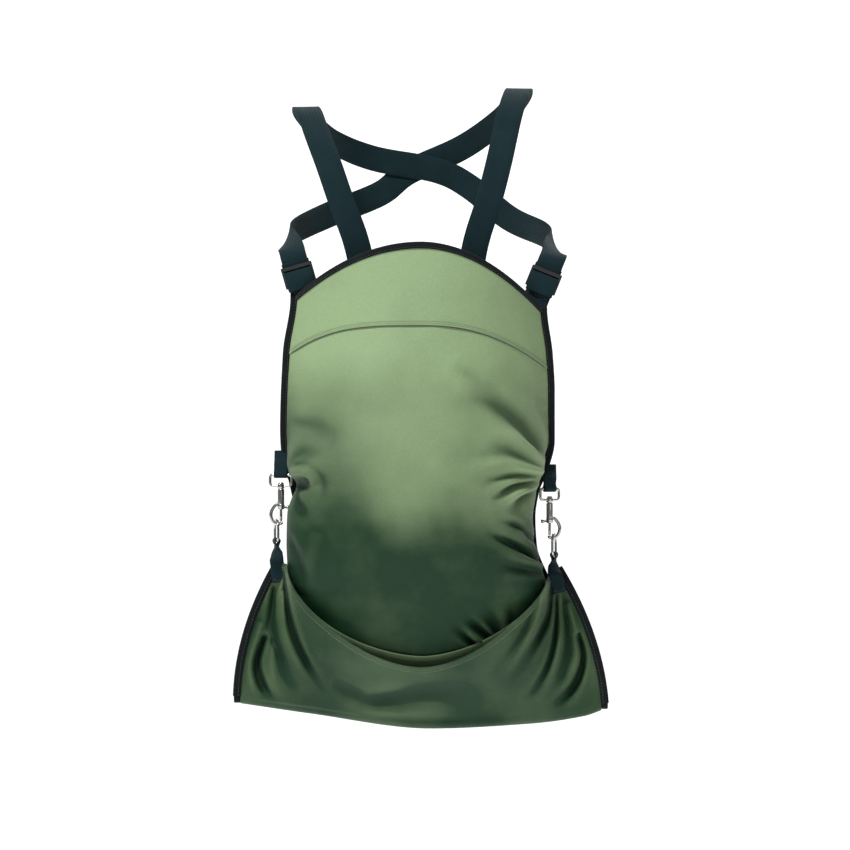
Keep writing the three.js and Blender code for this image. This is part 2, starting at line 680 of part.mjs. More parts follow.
function addSnap(name, side) {
  const place = new THREE.Group();
  place.position.set(side.snapX, SNAP_Y, side.snapZ);
  bag.add(place);

  const eyeTurn = new THREE.Group();
  eyeTurn.rotation.z = side.sign * radians(side.eyeYaw);
  place.add(eyeTurn);
  add(`snap_eye_${name}`, 'nickel', eyeGeometry(), eyeTurn);

  const seamZ = side.snapZ + SEWN_RISE;
  const route = [[0.15, 0.44], [0.6, 0.68], [1, 1]].map(([forth, up]) => [
    side.snapX, lerp(SNAP_Y, LOCK_Y, forth), lerp(side.snapZ, seamZ, up)]);
  add(`snap_loop_${name}`, 'webbing', foldedTab({
    bar: [side.snapX, SNAP_Y, side.snapZ],
    yaw: side.sign * radians(side.eyeYaw),
    rise: 1,
    route,
    width: SMALL_WEB,
    inner: WIRE_LOOP,
  }));

  // The hook bows outwards, so the left one is the right one turned half round.
  const hookTurn = new THREE.Group();
  hookTurn.rotation.z = side.sign < 0 ? Math.PI : 0;
  place.add(hookTurn);
  add(`snap_rivet_${name}`, 'nickel', rivetGeometry(), hookTurn);
  add(`snap_hook_${name}`, 'nickel', snapBodyGeometry(), hookTurn);
  add(`snap_bolt_${name}`, 'nickel', boltGeometry(), hookTurn);
  add(`snap_spring_${name}`, 'spring_steel', springGeometry(), hookTurn);
}

// The ring's place: its top rests in the hook, a little outside the bolt.
function ringPlace(side) {
  const throat = 6.4;
  return [side.snapX + side.sign * throat, SNAP_Y, side.snapZ - RING.drop - RING_HEIGHT];
}

function addRing(name, side) {
  const [x, y, z] = ringPlace(side);
  const yaw = side.sign * radians(RING_YAW);
  const place = new THREE.Group();
  place.position.set(x, y, z);
  place.rotation.z = yaw;
  bag.add(place);
  add(`d_ring_${name}`, 'nickel', ringGeometry(), place);

  const sewnY = -SEAT_DEPTH - 2 * LAYER_STEP - 9.6;
  const [footX, footZ] = side.tabFoot;
  const clear = 5; // while it still turns, the tab stands this far off the chute's corner
  const route = [
    [x, lerp(y, sewnY, 0.4), z - 17],
    [lerp(x, footX, 0.1), sewnY - clear, z - 27],
    [lerp(x, footX, 0.4), sewnY - clear / 3, z - 38],
    [footX, sewnY, footZ],
  ];
  add(`d_ring_tab_${name}`, 'webbing', foldedTab({
    bar: [x, y, z], yaw, rise: -1, route, width: SMALL_WEB, inner: WIRE_LOOP,
  }));
}

// ---- Assembly ----

addBody();
addMouthTapes();
addChute();
addFold();
addStrap('left', SIDES.left, SIDES.right, 236);
addStrap('right', SIDES.right, SIDES.left, 241);
for (const [name, side] of Object.entries(SIDES)) {
  addSideTape(name, side);
  addChuteTape(name, side);
  addBuckle(name, side);
  addSnap(name, side);
  addRing(name, side);
}

export default bag;
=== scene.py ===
"""The looks of a fruit picking bag: cloth, edge tapes, webbing, stitching and bright snaps.

Lengths are in millimetres until a mesh is made. +X is the bag's right seen from the front, -Y is the
front and +Z is up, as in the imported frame.
"""
import math

import bpy
import numpy as np
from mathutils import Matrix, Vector


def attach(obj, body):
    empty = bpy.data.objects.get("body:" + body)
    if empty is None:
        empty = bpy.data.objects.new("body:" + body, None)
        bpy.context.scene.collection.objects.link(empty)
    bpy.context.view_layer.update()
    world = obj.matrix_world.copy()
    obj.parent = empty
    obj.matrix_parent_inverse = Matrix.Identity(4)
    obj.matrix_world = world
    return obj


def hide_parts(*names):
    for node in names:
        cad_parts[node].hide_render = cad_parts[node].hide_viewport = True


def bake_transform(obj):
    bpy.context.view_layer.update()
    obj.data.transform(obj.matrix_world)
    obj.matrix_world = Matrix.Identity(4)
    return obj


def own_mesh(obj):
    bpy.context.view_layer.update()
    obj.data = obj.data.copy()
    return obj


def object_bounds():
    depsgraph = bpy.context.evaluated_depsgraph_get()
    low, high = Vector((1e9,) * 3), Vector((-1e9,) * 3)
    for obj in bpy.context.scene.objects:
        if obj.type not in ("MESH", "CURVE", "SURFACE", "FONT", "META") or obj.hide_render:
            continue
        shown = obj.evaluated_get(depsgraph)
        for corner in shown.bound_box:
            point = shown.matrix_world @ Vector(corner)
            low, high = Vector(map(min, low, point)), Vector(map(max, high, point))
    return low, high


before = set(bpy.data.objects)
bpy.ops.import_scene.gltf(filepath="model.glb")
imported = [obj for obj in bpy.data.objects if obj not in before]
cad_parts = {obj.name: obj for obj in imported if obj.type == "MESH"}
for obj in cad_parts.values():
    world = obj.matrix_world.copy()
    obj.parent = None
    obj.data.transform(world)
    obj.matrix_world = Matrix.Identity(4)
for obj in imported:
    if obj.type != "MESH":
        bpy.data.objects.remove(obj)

cad_low, cad_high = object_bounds()
MM = 0.001

# ---- Driving dimensions ----

CLOTH = 1.0  # thickness of the nylon as shown
BINDING = 9.0  # visible width of the black edge tape
WEB = 38.0  # width of the straps
WEB_THICK = 1.8
PLY_GAP = 0.5  # between two plies of webbing sewn together
SMALL_WEB = 20.0  # width of the snaps' loops and the D-rings' tabs
MOUTH_TOP = -216.0  # height of the front mouth's middle
REAR_TOP = -220.0
REAR_Y = -1.0  # the rear cloth
SEAM_Y = -4.6  # the middle of the side seams, between rear and front
SEAT_DEPTH = 8.0  # how far forward the front cloth is at its seams
LAYER_STEP = 6.5  # from the front cloth to the chute's inner layer, and on to its outer one
FLAP_TAPE_Y = -SEAT_DEPTH - 1.5 * LAYER_STEP  # midway between the chute's two layers
FOLD_HALF = 270.0
FOLD_ROLL = 10.0  # how deep the cloth hangs as it turns at the fold
TAPE_GAP = 0.3  # between the cloth and the tape at the fold's ends
FOOT_HALF = FOLD_HALF - BINDING - TAPE_GAP
CREST_Y = 105.0  # where the straps lie on the shoulders
YOKE_SEAM = -335.0
LIP_HANG = 130.0  # how far the inner lip hangs down between the chute's corners
LIP_GAP = 15.0  # how much lower the outer lip hangs
LIP_GAP_HALF = 0.7  # the share of the chute's width over which the two lips stand apart
MOUTH_GAPE = 18.0  # how much further forward the outer lip's middle stands
FLAP_BULGE = 13.0  # how far the flap's sides bow outwards

SNAP_Y = -24.0
RING_DROP = 64.4  # from the eye's upper bar down to the D-ring's top
RING_HEIGHT = 31.0
RING_HALF = 14.0
RING_YAW = 78.0  # degrees that the D-rings are turned away from the front
THROAT = 6.4  # from the swivel's axis to the ring's
WIRE_LOOP = 2.9  # inner radius of webbing folded round a ring or an eye
SEWN_RISE = 34.0  # from an eye up to the seam that holds its loop
LOCK_Y = -4.8
LOCK_LOOP = 3.7  # inner radius of webbing folded round a ladder lock's bar
LOCK_TOP = 34.5  # from a lock's lower bar to its top
LOCK_WEB_Y = 3.4  # how far behind a lock's middle the strap comes in

FOLD_LINE = [(-270, -878), (-161, -894), (15, -916), (158, -909), (236, -898), (270, -886)]
BELLY = [(-216, 80), (-335, 94), (-450, 118), (-560, 138), (-640, 132), (-720, 104),
         (-800, 66), (-862, 22), (-906, 0), (-930, 0)]
BELLY_POWER = 2.4

# What differs from side to side. overhang is how far the full belly stands out past its seam.
SIDES = {
    "left": dict(
        sign=-1,
        edge=[(-216, 188), (-293, 188), (-373, 199), (-484, 203), (-530, 200), (-560, 190),
              (-600, 183), (-650, 182), (-700, 197), (-800, 241), (-930, 285)],
        overhang=[(-470, -7), (-505, -4), (-528, -3), (-546, -5), (-562, -8), (-580, -1),
                  (-602, 8), (-650, 10), (-690, -1), (-720, -9), (-760, -9)],
        mouth_drop=72, mouth_power=2.0, seam_drop=40, seam_power=3.6,
        lip_half=203, lip_reach=192, lip_top=-677, lip_power=1.8,
        snap=(-202, -549), eye_yaw=-10, tab_foot=(-204, -704),
        lock=(-173.4, -272.5), lock_lean=-16, crest=(-171, -9), crossing=236),
    "right": dict(
        sign=1,
        edge=[(-216, 182), (-307, 182), (-373, 190), (-429, 193), (-500, 193), (-540, 184),
              (-575, 170), (-610, 165), (-650, 167), (-700, 186), (-800, 238), (-930, 285)],
        overhang=[(-500, -8), (-560, -5), (-640, -4), (-665, -1), (-700, -6), (-730, -9)],
        mouth_drop=90, mouth_power=1.95, seam_drop=61, seam_power=2.4,
        lip_half=193, lip_reach=187, lip_top=-681, lip_power=1.65,
        snap=(186, -569), eye_yaw=32, tab_foot=(201, -719),
        lock=(173, -279), lock_lean=22, crest=(146, 18), crossing=241),
}


FRONT = np.array([0.0, -1.0, 0.0])
BACK = -FRONT


# ---- Small maths ----

def between(knots, place):
    """A smooth value between knots (place, value) that never overshoots a knot."""
    xs, ys = np.array(sorted(knots), float).T
    slopes = np.diff(ys) / np.diff(xs)
    tangents = np.concatenate([slopes[:1], slopes, slopes[-1:]])[:len(xs)].copy()
    tangents[-1] = slopes[-1]
    before, after = slopes[:-1], slopes[1:]
    same_way = before * after > 0
    total = np.where(same_way, before + after, 1)
    tangents[1:-1] = np.where(same_way, 2 * before * after / total, 0)
    place = np.asarray(place, float)
    i = np.clip(np.searchsorted(xs, place) - 1, 0, len(xs) - 2)
    span = xs[i + 1] - xs[i]
    t = np.clip((place - xs[i]) / span, 0, 1)
    hold = 1 - t
    return (ys[i] * (1 + 2 * t) * hold ** 2 + tangents[i] * span * t * hold ** 2
            + ys[i + 1] * t * t * (3 - 2 * t) - tangents[i + 1] * span * t * t * hold)


def ease(value, low, high):
    """From 0 at low to 1 at high, smoothly; low may be the larger."""
    t = np.clip((np.asarray(value, float) - low) / (high - low), 0, 1)
    return t * t * (3 - 2 * t)


def signed_power(value, power):
    return np.sign(value) * np.abs(value) ** power


def unit(vectors):
    vectors = np.asarray(vectors, float)
    return vectors / np.maximum(np.linalg.norm(vectors, axis=-1, keepdims=True), 1e-9)


def per_side(s, pick):
    """pick(side) worked out for both sides and chosen by the sign of s."""
    return np.where(s < 0, pick(SIDES["left"]), pick(SIDES["right"]))


def waves(points, size, seed, octaves=3):
    """Smooth seeded noise from -1 to 1 over points (..., 3), about size millimetres from crest to crest."""
    rng = np.random.default_rng(seed)
    total = np.zeros(points.shape[:-1])
    weight = 1.0
    for _ in range(octaves):
        for _ in range(4):
            way = unit(rng.normal(size=3)) * 2 * np.pi / size
            total += weight * np.sin(points @ way + rng.uniform(0, 2 * np.pi)) / 4
        size *= 0.5
        weight *= 0.5
    return total / 1.2


def smooth_line(stations, steps):
    """A Catmull-Rom line through stations, with steps points to each."""
    stations = np.asarray(stations, float)
    before = 2 * stations[0] - stations[1]
    after = 2 * stations[-1] - stations[-2]
    p = np.vstack([before, stations, after])
    line = []
    for i in range(len(stations) - 1):
        t = np.linspace(0, 1, steps, endpoint=False)[:, None]
        a, b, c, d = p[i:i + 4]
        line.append(0.5 * (2 * b + (c - a) * t + (2 * a - 5 * b + 4 * c - d) * t ** 2
                           + (3 * b - a - 3 * c + d) * t ** 3))
    return np.vstack([*line, stations[-1:]])


def lengths_along(line):
    """How far along the line each of its points lies."""
    return np.concatenate([[0], np.cumsum(np.linalg.norm(np.diff(line, axis=0), axis=1))])


def evenly(line, spacing):
    """The line's points respaced evenly, about spacing apart."""
    along = lengths_along(line)
    places = np.linspace(0, along[-1], max(2, round(along[-1] / spacing) + 1))
    return np.column_stack([np.interp(places, along, line[:, k]) for k in range(line.shape[1])])


# ---- Making pieces ----

def new_piece(name, points, faces, material, uv=None, smooth=True):
    mesh = bpy.data.meshes.new(name)
    mesh.from_pydata((np.asarray(points, float) * MM).tolist(), [], [list(map(int, f)) for f in faces])
    mesh.validate()
    if smooth:
        mesh.shade_smooth()
    if uv is not None:
        layer = mesh.uv_layers.new(name="cloth")
        corner = np.zeros(len(mesh.loops), np.int64)
        mesh.loops.foreach_get("vertex_index", corner)
        layer.data.foreach_set("uv", (np.asarray(uv, float) * MM)[corner].astype(np.float32).ravel())
    mesh.materials.append(material)
    piece = bpy.data.objects.new(name, mesh)
    bpy.context.scene.collection.objects.link(piece)
    return piece


def place_piece(piece, body, slot, *nodes):
    """The piece rides on the body and stands for the CAD nodes, which are hidden; slot is not used."""
    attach(piece, body)
    if nodes:
        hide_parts(*nodes)
    return piece


def grid_faces(rows, columns):
    index = np.arange(rows * columns).reshape(rows, columns)
    return np.stack([index[:-1, :-1], index[:-1, 1:], index[1:, 1:], index[1:, :-1]], -1).reshape(-1, 4)


def grid_uv(points):
    """How far each grid point lies along its row and down its column, in millimetres."""
    across = np.linalg.norm(np.diff(points, axis=1), axis=2)
    down = np.linalg.norm(np.diff(points, axis=0), axis=2)
    u = np.concatenate([np.zeros((len(points), 1)), np.cumsum(across, 1)], 1)
    u -= u[:, u.shape[1] // 2:u.shape[1] // 2 + 1]
    v = np.concatenate([np.zeros((1, points.shape[1])), np.cumsum(down, 0)], 0)
    return np.stack([u, v], -1)


def grid_normals(points):
    """Unit normals of a grid of points; they face the front where rows run up and columns right."""
    return unit(np.cross(np.gradient(points, axis=1), np.gradient(points, axis=0)))


def add_value(piece, name, values):
    attribute = piece.data.attributes.new(name, "FLOAT", "POINT")
    attribute.data.foreach_set("value", np.asarray(values, np.float32).ravel())


def cloth_piece(name, points, material, paleness, thickness=CLOTH):
    """A sheet of cloth over a grid of points, from bottom to top and left to right."""
    rows, columns = points.shape[:2]
    piece = new_piece(name, points.reshape(-1, 3), grid_faces(rows, columns), material,
                      grid_uv(points).reshape(-1, 2))
    add_value(piece, "paleness", paleness)
    subdivision = piece.modifiers.new("fine", "SUBSURF")
    subdivision.levels = subdivision.render_levels = 1
    thick = piece.modifiers.new("thick", "SOLIDIFY")
    thick.thickness = thickness * MM
    thick.offset = 0
    return piece


def swept(name, sections, material, closed=False, uv=None):
    """A solid through sections (rings of points); an open one has flat caps."""
    sections = np.asarray(sections, float)
    count, ring = sections.shape[:2]
    index = np.arange(count * ring).reshape(count, ring)
    if closed:
        index = np.vstack([index, index[:1]])
    here = index[:-1]
    ahead = index[1:]
    faces = np.stack([here, np.roll(here, -1, 1), np.roll(ahead, -1, 1), ahead], -1).reshape(-1, 4).tolist()
    if not closed:
        faces += [index[0][::-1].tolist(), index[-1].tolist()]
    piece = new_piece(name, sections.reshape(-1, 3), faces, material, uv)
    flip_if_inside_out(piece)
    return piece


def flip_if_inside_out(piece):
    mesh = piece.data
    mesh.calc_loop_triangles()
    points = np.array([v.co for v in mesh.vertices])
    corners = np.array([t.vertices for t in mesh.loop_triangles])
    a, b, c = points[corners[:, 0]], points[corners[:, 1]], points[corners[:, 2]]
    if np.einsum("ij,ij->i", a, np.cross(b, c)).sum() < 0:
        mesh.flip_normals()


def carried(name, line, across, face, section, girth, material, part=slice(None)):
    """A section of (across, face) points carried along a line, or a part of it, with UVs in millimetres."""
    sections = line[:, None] + across[:, None] * section[None, :, :1] + face[:, None] * section[None, :, 1:]
    shape = sections.shape[:2]
    along = lengths_along(line)
    uv = np.stack([np.broadcast_to(girth[None], shape), np.broadcast_to(along[:, None], shape)], -1)
    return swept(name, sections[part], material, uv=uv[part].reshape(-1, 2))


def web_section(width, thick):
    """A ribbon's rounded section as (across, out) points."""
    half, lift = width / 2, thick / 2
    flat_end = half - 0.45 * thick
    top = [(across, lift) for across in (-flat_end, -0.25 * width, 0.25 * width, flat_end)]
    side = [(half, 0.35 * lift), (half, -0.35 * lift)]
    return np.array([*top, *side, *[(-a, -b) for a, b in top], *[(-a, -b) for a, b in side]])


def ribbon(name, line, looks, width, thick, material, part=slice(None)):
    """Webbing or tape along a line, or along a part of it, facing the way of looks."""
    forward = unit(np.gradient(line, axis=0))
    across = unit(np.cross(forward, looks))
    section = web_section(width, thick)
    return carried(name, line, across, np.cross(across, forward), section, section[:, 0], material, part)


def tube(name, line, radius, material, closed=False, sides=16):
    """Round wire along a line; radius is a number or one for each point."""
    line = np.asarray(line, float)
    forward = unit(np.gradient(line, axis=0))
    if closed:
        forward = unit(np.roll(line, -1, 0) - np.roll(line, 1, 0))
    across = unit(np.cross(forward, BACK))
    up = np.cross(across, forward)
    turn = np.linspace(0, 2 * np.pi, sides, endpoint=False)
    reach = np.broadcast_to(np.asarray(radius, float), (len(line),))[:, None, None]
    sections = line[:, None] + reach * (across[:, None] * np.cos(turn)[None, :, None]
                                        + up[:, None] * np.sin(turn)[None, :, None])
    return swept(name, sections, material, closed)


def turned(name, profile, material, place=(0, 0, 0), axis="z", sides=24):
    """A turned piece from (radius, along) points about an axis through place."""
    turn = np.linspace(0, 2 * np.pi, sides, endpoint=False)
    rings = []
    for radius, along in profile:
        ring = np.column_stack([radius * np.cos(turn), radius * np.sin(turn), np.full(sides, along)])
        rings.append(ring[:, [2, 0, 1]] if axis == "x" else ring)
    sections = np.array(rings) + np.asarray(place, float)
    return swept(name, sections, material)


def joined(name, pieces):
    """Several pieces made one, keeping the first one's name and material."""
    bpy.ops.object.select_all(action="DESELECT")
    for piece in pieces:
        piece.select_set(True)
    bpy.context.view_layer.objects.active = pieces[0]
    bpy.ops.object.join()
    pieces[0].name = name
    return pieces[0]


STITCH = dict(length=3.0, gap=1.6, radius=0.34)
STITCH_SIDES = 6
# Rings of a stitch: shares of its length along it, of its radius out, and of its radius off the cloth.
STITCH_RINGS = [(-0.5, 0.45, -0.25), (-0.32, 1, 0.25), (0.32, 1, 0.25), (0.5, 0.45, -0.25)]


def stitch_row(line, outward):
    """Stitches along a line, as lists of points and faces; outward is the way off the cloth."""
    pitch = STITCH["length"] + STITCH["gap"]
    both = evenly(np.hstack([line, outward]), pitch / 2)
    centres, out = both[1::2, :3], unit(both[1::2, 3:])
    forward = unit(np.gradient(both[:, :3], axis=0))[1::2]
    across = unit(np.cross(forward, out))
    turn = np.linspace(0, 2 * np.pi, STITCH_SIDES, endpoint=False)
    points, faces = [], []
    for centre, f, a, o in zip(centres, forward, across, out):
        base = len(points)
        for along, swell, rise in STITCH_RINGS:
            middle = centre + f * along * STITCH["length"] + o * rise * STITCH["radius"]
            reach = swell * STITCH["radius"]
            points.extend(middle + reach * (np.cos(q) * a + np.sin(q) * o) for q in turn)
        for ring in range(len(STITCH_RINGS) - 1):
            for k in range(STITCH_SIDES):
                p = base + ring * STITCH_SIDES + k
                q = base + ring * STITCH_SIDES + (k + 1) % STITCH_SIDES
                faces.append((p, q, q + STITCH_SIDES, p + STITCH_SIDES))
        last = base + STITCH_SIDES * (len(STITCH_RINGS) - 1)
        faces.append(tuple(base + k for k in reversed(range(STITCH_SIDES))))
        faces.append(tuple(last + k for k in range(STITCH_SIDES)))
    return points, faces


def stitches(name, rows, material, body, slot):
    """All of one piece's stitch rows, each (line, outward), as one mesh."""
    points, faces = [], []
    for line, outward in rows:
        line = np.asarray(line, float)
        outward = np.broadcast_to(np.asarray(outward, float), line.shape)
        more_points, more_faces = stitch_row(line, outward)
        faces += [tuple(i + len(points) for i in f) for f in more_faces]
        points += more_points
    piece = new_piece(name, points, faces, material)
    return place_piece(piece, body, slot)


# ---- Materials ----

def srgb(red, green, blue):
    """A linear colour from 8-bit sRGB values."""
    value = np.array([red, green, blue]) / 255
    linear = np.where(value <= 0.04045, value / 12.92, ((value + 0.055) / 1.055) ** 2.4)
    return (*linear.tolist(), 1.0)


class Nodes:
    """A material's node tree with short ways to add nodes and link them."""

    def __init__(self, name):
        self.material = bpy.data.materials.new(name)
        self.material.use_nodes = True
        self.tree = self.material.node_tree
        self.shader = self.tree.nodes["Principled BSDF"]

    def add(self, kind, **settings):
        node = self.tree.nodes.new(kind)
        for key, value in settings.items():
            setattr(node, key, value)
        return node

    def link(self, source, target):
        self.tree.links.new(source, target)

    def put(self, socket, value):
        if hasattr(value, "links"):
            self.link(value, socket)
        else:
            socket.default_value = value

    def math(self, operation, a, b=0.0):
        node = self.add("ShaderNodeMath", operation=operation)
        self.put(node.inputs[0], a)
        self.put(node.inputs[1], b)
        return node.outputs[0]

    def position(self):
        """Where a point of the piece lies, in metres."""
        return self.add("ShaderNodeTexCoord").outputs["Object"]

    def cloth_uv(self):
        """How far a point lies across and along its cloth or webbing, in metres."""
        split = self.add("ShaderNodeSeparateXYZ")
        self.link(self.add("ShaderNodeUVMap", uv_map="cloth").outputs[0], split.inputs[0])
        return split.outputs[0], split.outputs[1]

    def wave(self, distance, pitch):
        """A sine over a distance in metres, with its pitch in millimetres."""
        return self.math("SINE", self.math("MULTIPLY", distance, 2 * math.pi / (pitch * MM)))

    def noise(self, vector, scale, detail=3.0, roughness=0.5):
        """Noise from 0 to 1, with about scale clouds to the metre."""
        node = self.add("ShaderNodeTexNoise")
        self.put(node.inputs["Vector"], vector)
        node.inputs["Scale"].default_value = scale
        node.inputs["Detail"].default_value = detail
        node.inputs["Roughness"].default_value = roughness
        return node.outputs["Fac"]

    def mix(self, share, a, b, blend="MIX"):
        node = self.add("ShaderNodeMix", data_type="RGBA", blend_type=blend)
        self.put(node.inputs["Factor"], share)
        self.put(node.inputs[6], a)
        self.put(node.inputs[7], b)
        return node.outputs[2]

    def spread(self, value, low, high, to_low, to_high):
        node = self.add("ShaderNodeMapRange")
        self.put(node.inputs["Value"], value)
        for key, number in zip(("From Min", "From Max", "To Min", "To Max"), (low, high, to_low, to_high)):
            node.inputs[key].default_value = number
        return node.outputs["Result"]

    def bump(self, height, strength, distance, under=None):
        node = self.add("ShaderNodeBump")
        node.inputs["Strength"].default_value = strength
        node.inputs["Distance"].default_value = distance
        self.put(node.inputs["Height"], height)
        if under is not None:
            self.link(under, node.inputs["Normal"])
        return node.outputs["Normal"]

    def finish(self, colour, roughness, normal, **constants):
        self.put(self.shader.inputs["Base Color"], colour)
        self.put(self.shader.inputs["Roughness"], roughness)
        self.link(normal, self.shader.inputs["Normal"])
        for key, value in constants.items():
            self.shader.inputs[key.replace("_", " ")].default_value = value
        return self.material


THREAD_PITCH = 0.9  # of the nylon's plain weave


def nylon(name, dark, pale):
    """Coated nylon: a fine weave, fading in clouds, with faint crumples and a soft sheen. Its paleness
    attribute also carries painted shade and painted highlights.
    """
    n = Nodes(name)
    coordinates = n.position()
    paleness = n.add("ShaderNodeAttribute", attribute_name="paleness").outputs["Fac"]
    clouds = n.noise(coordinates, 9.0, 4.0, 0.55)
    blotches = n.spread(clouds, 0.3, 0.7, -0.09, 0.07)
    share = n.math("ADD", paleness, blotches)
    clamped = n.add("ShaderNodeClamp")
    n.link(share, clamped.inputs[0])
    colour = n.mix(clamped.outputs[0], dark, pale)
    # paleness below zero is painted shade in the crease floors, darkening the cloth towards a near-black
    # green
    colour = n.mix(n.spread(paleness, -0.5, 0.0, 0.75, 0.0), colour, srgb(8, 20, 12))
    specks = n.spread(n.noise(coordinates, 420.0, 2.0), 0.3, 0.7, 0.94, 1.05)
    tint = n.add("ShaderNodeCombineColor")
    for socket in tint.inputs[:3]:
        n.link(specks, socket)
    colour = n.mix(1.0, colour, tint.outputs[0], "MULTIPLY")
    crumple = n.bump(n.noise(coordinates, 34.0, 4.0, 0.55), 0.22, 0.004)
    across, along = n.cloth_uv()
    threads = n.math("MULTIPLY", n.wave(across, THREAD_PITCH), n.wave(along, THREAD_PITCH))
    weave = n.bump(threads, 0.25, 0.0003, crumple)
    roughness = n.spread(clouds, 0.3, 0.7, 0.5, 0.62)
    return n.finish(colour, roughness, weave,
                    Sheen_Weight=0.03, Sheen_Roughness=0.4, Specular_IOR_Level=0.2)


def woven(name, colour, pitch, depth, worn):
    """Webbing or tape: chevron ribs across its length, paler where it is worn."""
    n = Nodes(name)
    across, along = n.cloth_uv()
    chevron = 2.4  # width of one slant, in millimetres
    bars = n.math("PINGPONG", across, chevron * MM)
    slanted = n.math("ADD", along, n.math("MULTIPLY", bars, 0.9))
    ribs = n.wave(slanted, pitch)
    lanes = n.wave(across, 2 * chevron)
    height = n.math("ADD", ribs, n.math("MULTIPLY", lanes, 0.4))
    coordinates = n.position()
    dust = n.spread(n.noise(coordinates, 26.0, 5.0, 0.6), 0.42, 0.75, 0.0, 0.45)
    tops = n.spread(height, -0.6, 1.4, 0.0, 0.4)
    shade = n.mix(n.math("MAXIMUM", dust, tops), colour, worn)
    fuzz = n.bump(n.noise(coordinates, 900.0, 2.0), 0.25, 0.0003)
    return n.finish(shade, 0.78, n.bump(height, 0.6, depth * MM, fuzz),
                    Sheen_Weight=0.06, Sheen_Roughness=0.5, Specular_IOR_Level=0.14)


def nickel(name, colour, low, high):
    """Bright plating with fine scratches and duller patches."""
    n = Nodes(name)
    coordinates = n.position()
    patches = n.noise(coordinates, 120.0, 4.0, 0.6)
    stretch = n.add("ShaderNodeMapping")
    stretch.inputs["Scale"].default_value = (1.0, 1.0, 0.08)
    n.link(coordinates, stretch.inputs["Vector"])
    scratches = n.noise(stretch.outputs[0], 2600.0, 2.0)
    shade = n.mix(n.spread(patches, 0.45, 0.8, 0.0, 0.5), colour, srgb(150, 148, 142))
    normal = n.bump(scratches, 0.12, 0.0001)
    return n.finish(shade, n.spread(patches, 0.3, 0.7, low, high), normal, Metallic=1.0)


def moulded(name, colour):
    """Black moulded plastic with a fine grain."""
    n = Nodes(name)
    coordinates = n.position()
    grain = n.noise(coordinates, 1400.0, 3.0)
    shade = n.mix(n.spread(n.noise(coordinates, 60.0), 0.4, 0.7, 0.0, 0.35), colour, srgb(48, 52, 52))
    return n.finish(shade, n.spread(grain, 0.3, 0.7, 0.42, 0.55), n.bump(grain, 0.2, 0.0002))


def thread(name, colour):
    """Sewing thread, with a twist too fine to show as more than a sheen."""
    n = Nodes(name)
    coordinates = n.position()
    twist = n.noise(coordinates, 1800.0, 2.0)
    shade = n.mix(n.spread(twist, 0.3, 0.7, 0.0, 0.12), colour, srgb(96, 104, 98))
    return n.finish(shade, 0.6, n.bump(twist, 0.4, 0.0002), Sheen_Weight=0.3)


MATERIALS = {
    "cloth": nylon("green_nylon", srgb(18, 50, 27), srgb(137, 159, 118)),
    "tape": woven("binding_tape", srgb(5, 10, 12), 1.1, 0.12, srgb(22, 30, 32)),
    "webbing": woven("black_webbing", srgb(5, 29, 34), 1.5, 0.2, srgb(20, 48, 53)),
    "nickel": nickel("nickel_plate", srgb(188, 188, 184), 0.1, 0.24),
    "steel": nickel("spring_wire", srgb(170, 170, 168), 0.25, 0.4),
    "plastic": moulded("black_plastic", srgb(22, 25, 25)),
    "black_thread": thread("black_thread", srgb(14, 19, 20)),
    # dark thread-like material for the painted shadow under the yoke's folded edge
    "painted_seam_shadow": thread("painted_seam_shadow", srgb(24, 46, 32)),
    "green_thread": thread("green_thread", srgb(96, 118, 86)),
}


# ---- The bag's form ----

def seam_x(side, z):
    return between(side["edge"], z)


def cloth_x(side, z):
    return seam_x(side, z) - BINDING


def fold_z(x):
    return between(FOLD_LINE, x)


def layer_foot(x):
    """Where the layers start above the fold's rolls."""
    return fold_z(x) + FOLD_ROLL + 0.9


def mouth_z(s):
    drop = per_side(s, lambda side: side["mouth_drop"] * np.abs(s) ** side["mouth_power"])
    return MOUTH_TOP - drop


def rear_mouth_z(s):
    return mouth_z(s) + (REAR_TOP - MOUTH_TOP) * (1 - s * s)


def yoke_seam_z(s):
    drop = per_side(s, lambda side: side["seam_drop"] * np.abs(s) ** side["seam_power"])
    return YOKE_SEAM - drop


FULL_POWER = 2.3  # of the full belly's rounded section; 2 would be an ellipse


def front_point(s, z):
    """The front cloth, s from seam to seam; below the waist it is full enough to overhang its seams."""
    depth = between(BELLY, z)
    half = per_side(s, lambda side: cloth_x(side, z))
    plain_x = s * half
    plain_y = -SEAT_DEPTH - depth * (1 - np.abs(s) ** BELLY_POWER)
    widest = per_side(s, lambda side: seam_x(side, z) + between(side["overhang"], z))
    turn = np.pi - np.arcsin(np.clip(half / widest, 0, 1) ** (FULL_POWER / 2))
    behind = np.abs(np.cos(turn)) ** (2 / FULL_POWER)
    full_x = widest * signed_power(np.sin(s * turn), 2 / FULL_POWER)
    full_y = -SEAT_DEPTH - depth / (1 + behind) * (behind + signed_power(np.cos(s * turn), 2 / FULL_POWER))
    share = ease(z, -420, -560) * ease(z, -770, -705)  # full between the waist and the lip's level
    x = plain_x + (full_x - plain_x) * share
    y = plain_y + (full_y - plain_y) * share
    return np.stack([x, y, z + 0 * s], -1)


FALL_AWAY = 7.0  # a layer laid over the belly's edge is back at its seam this far outside it
TABLE_X = np.linspace(-295, 295, 237)  # past both ends of the fold, 2.5 mm apart
TABLE_Z = np.linspace(-935, -640, 75)  # from under the fold to above the lips, 4 mm apart
CURVE_STEPS = 200


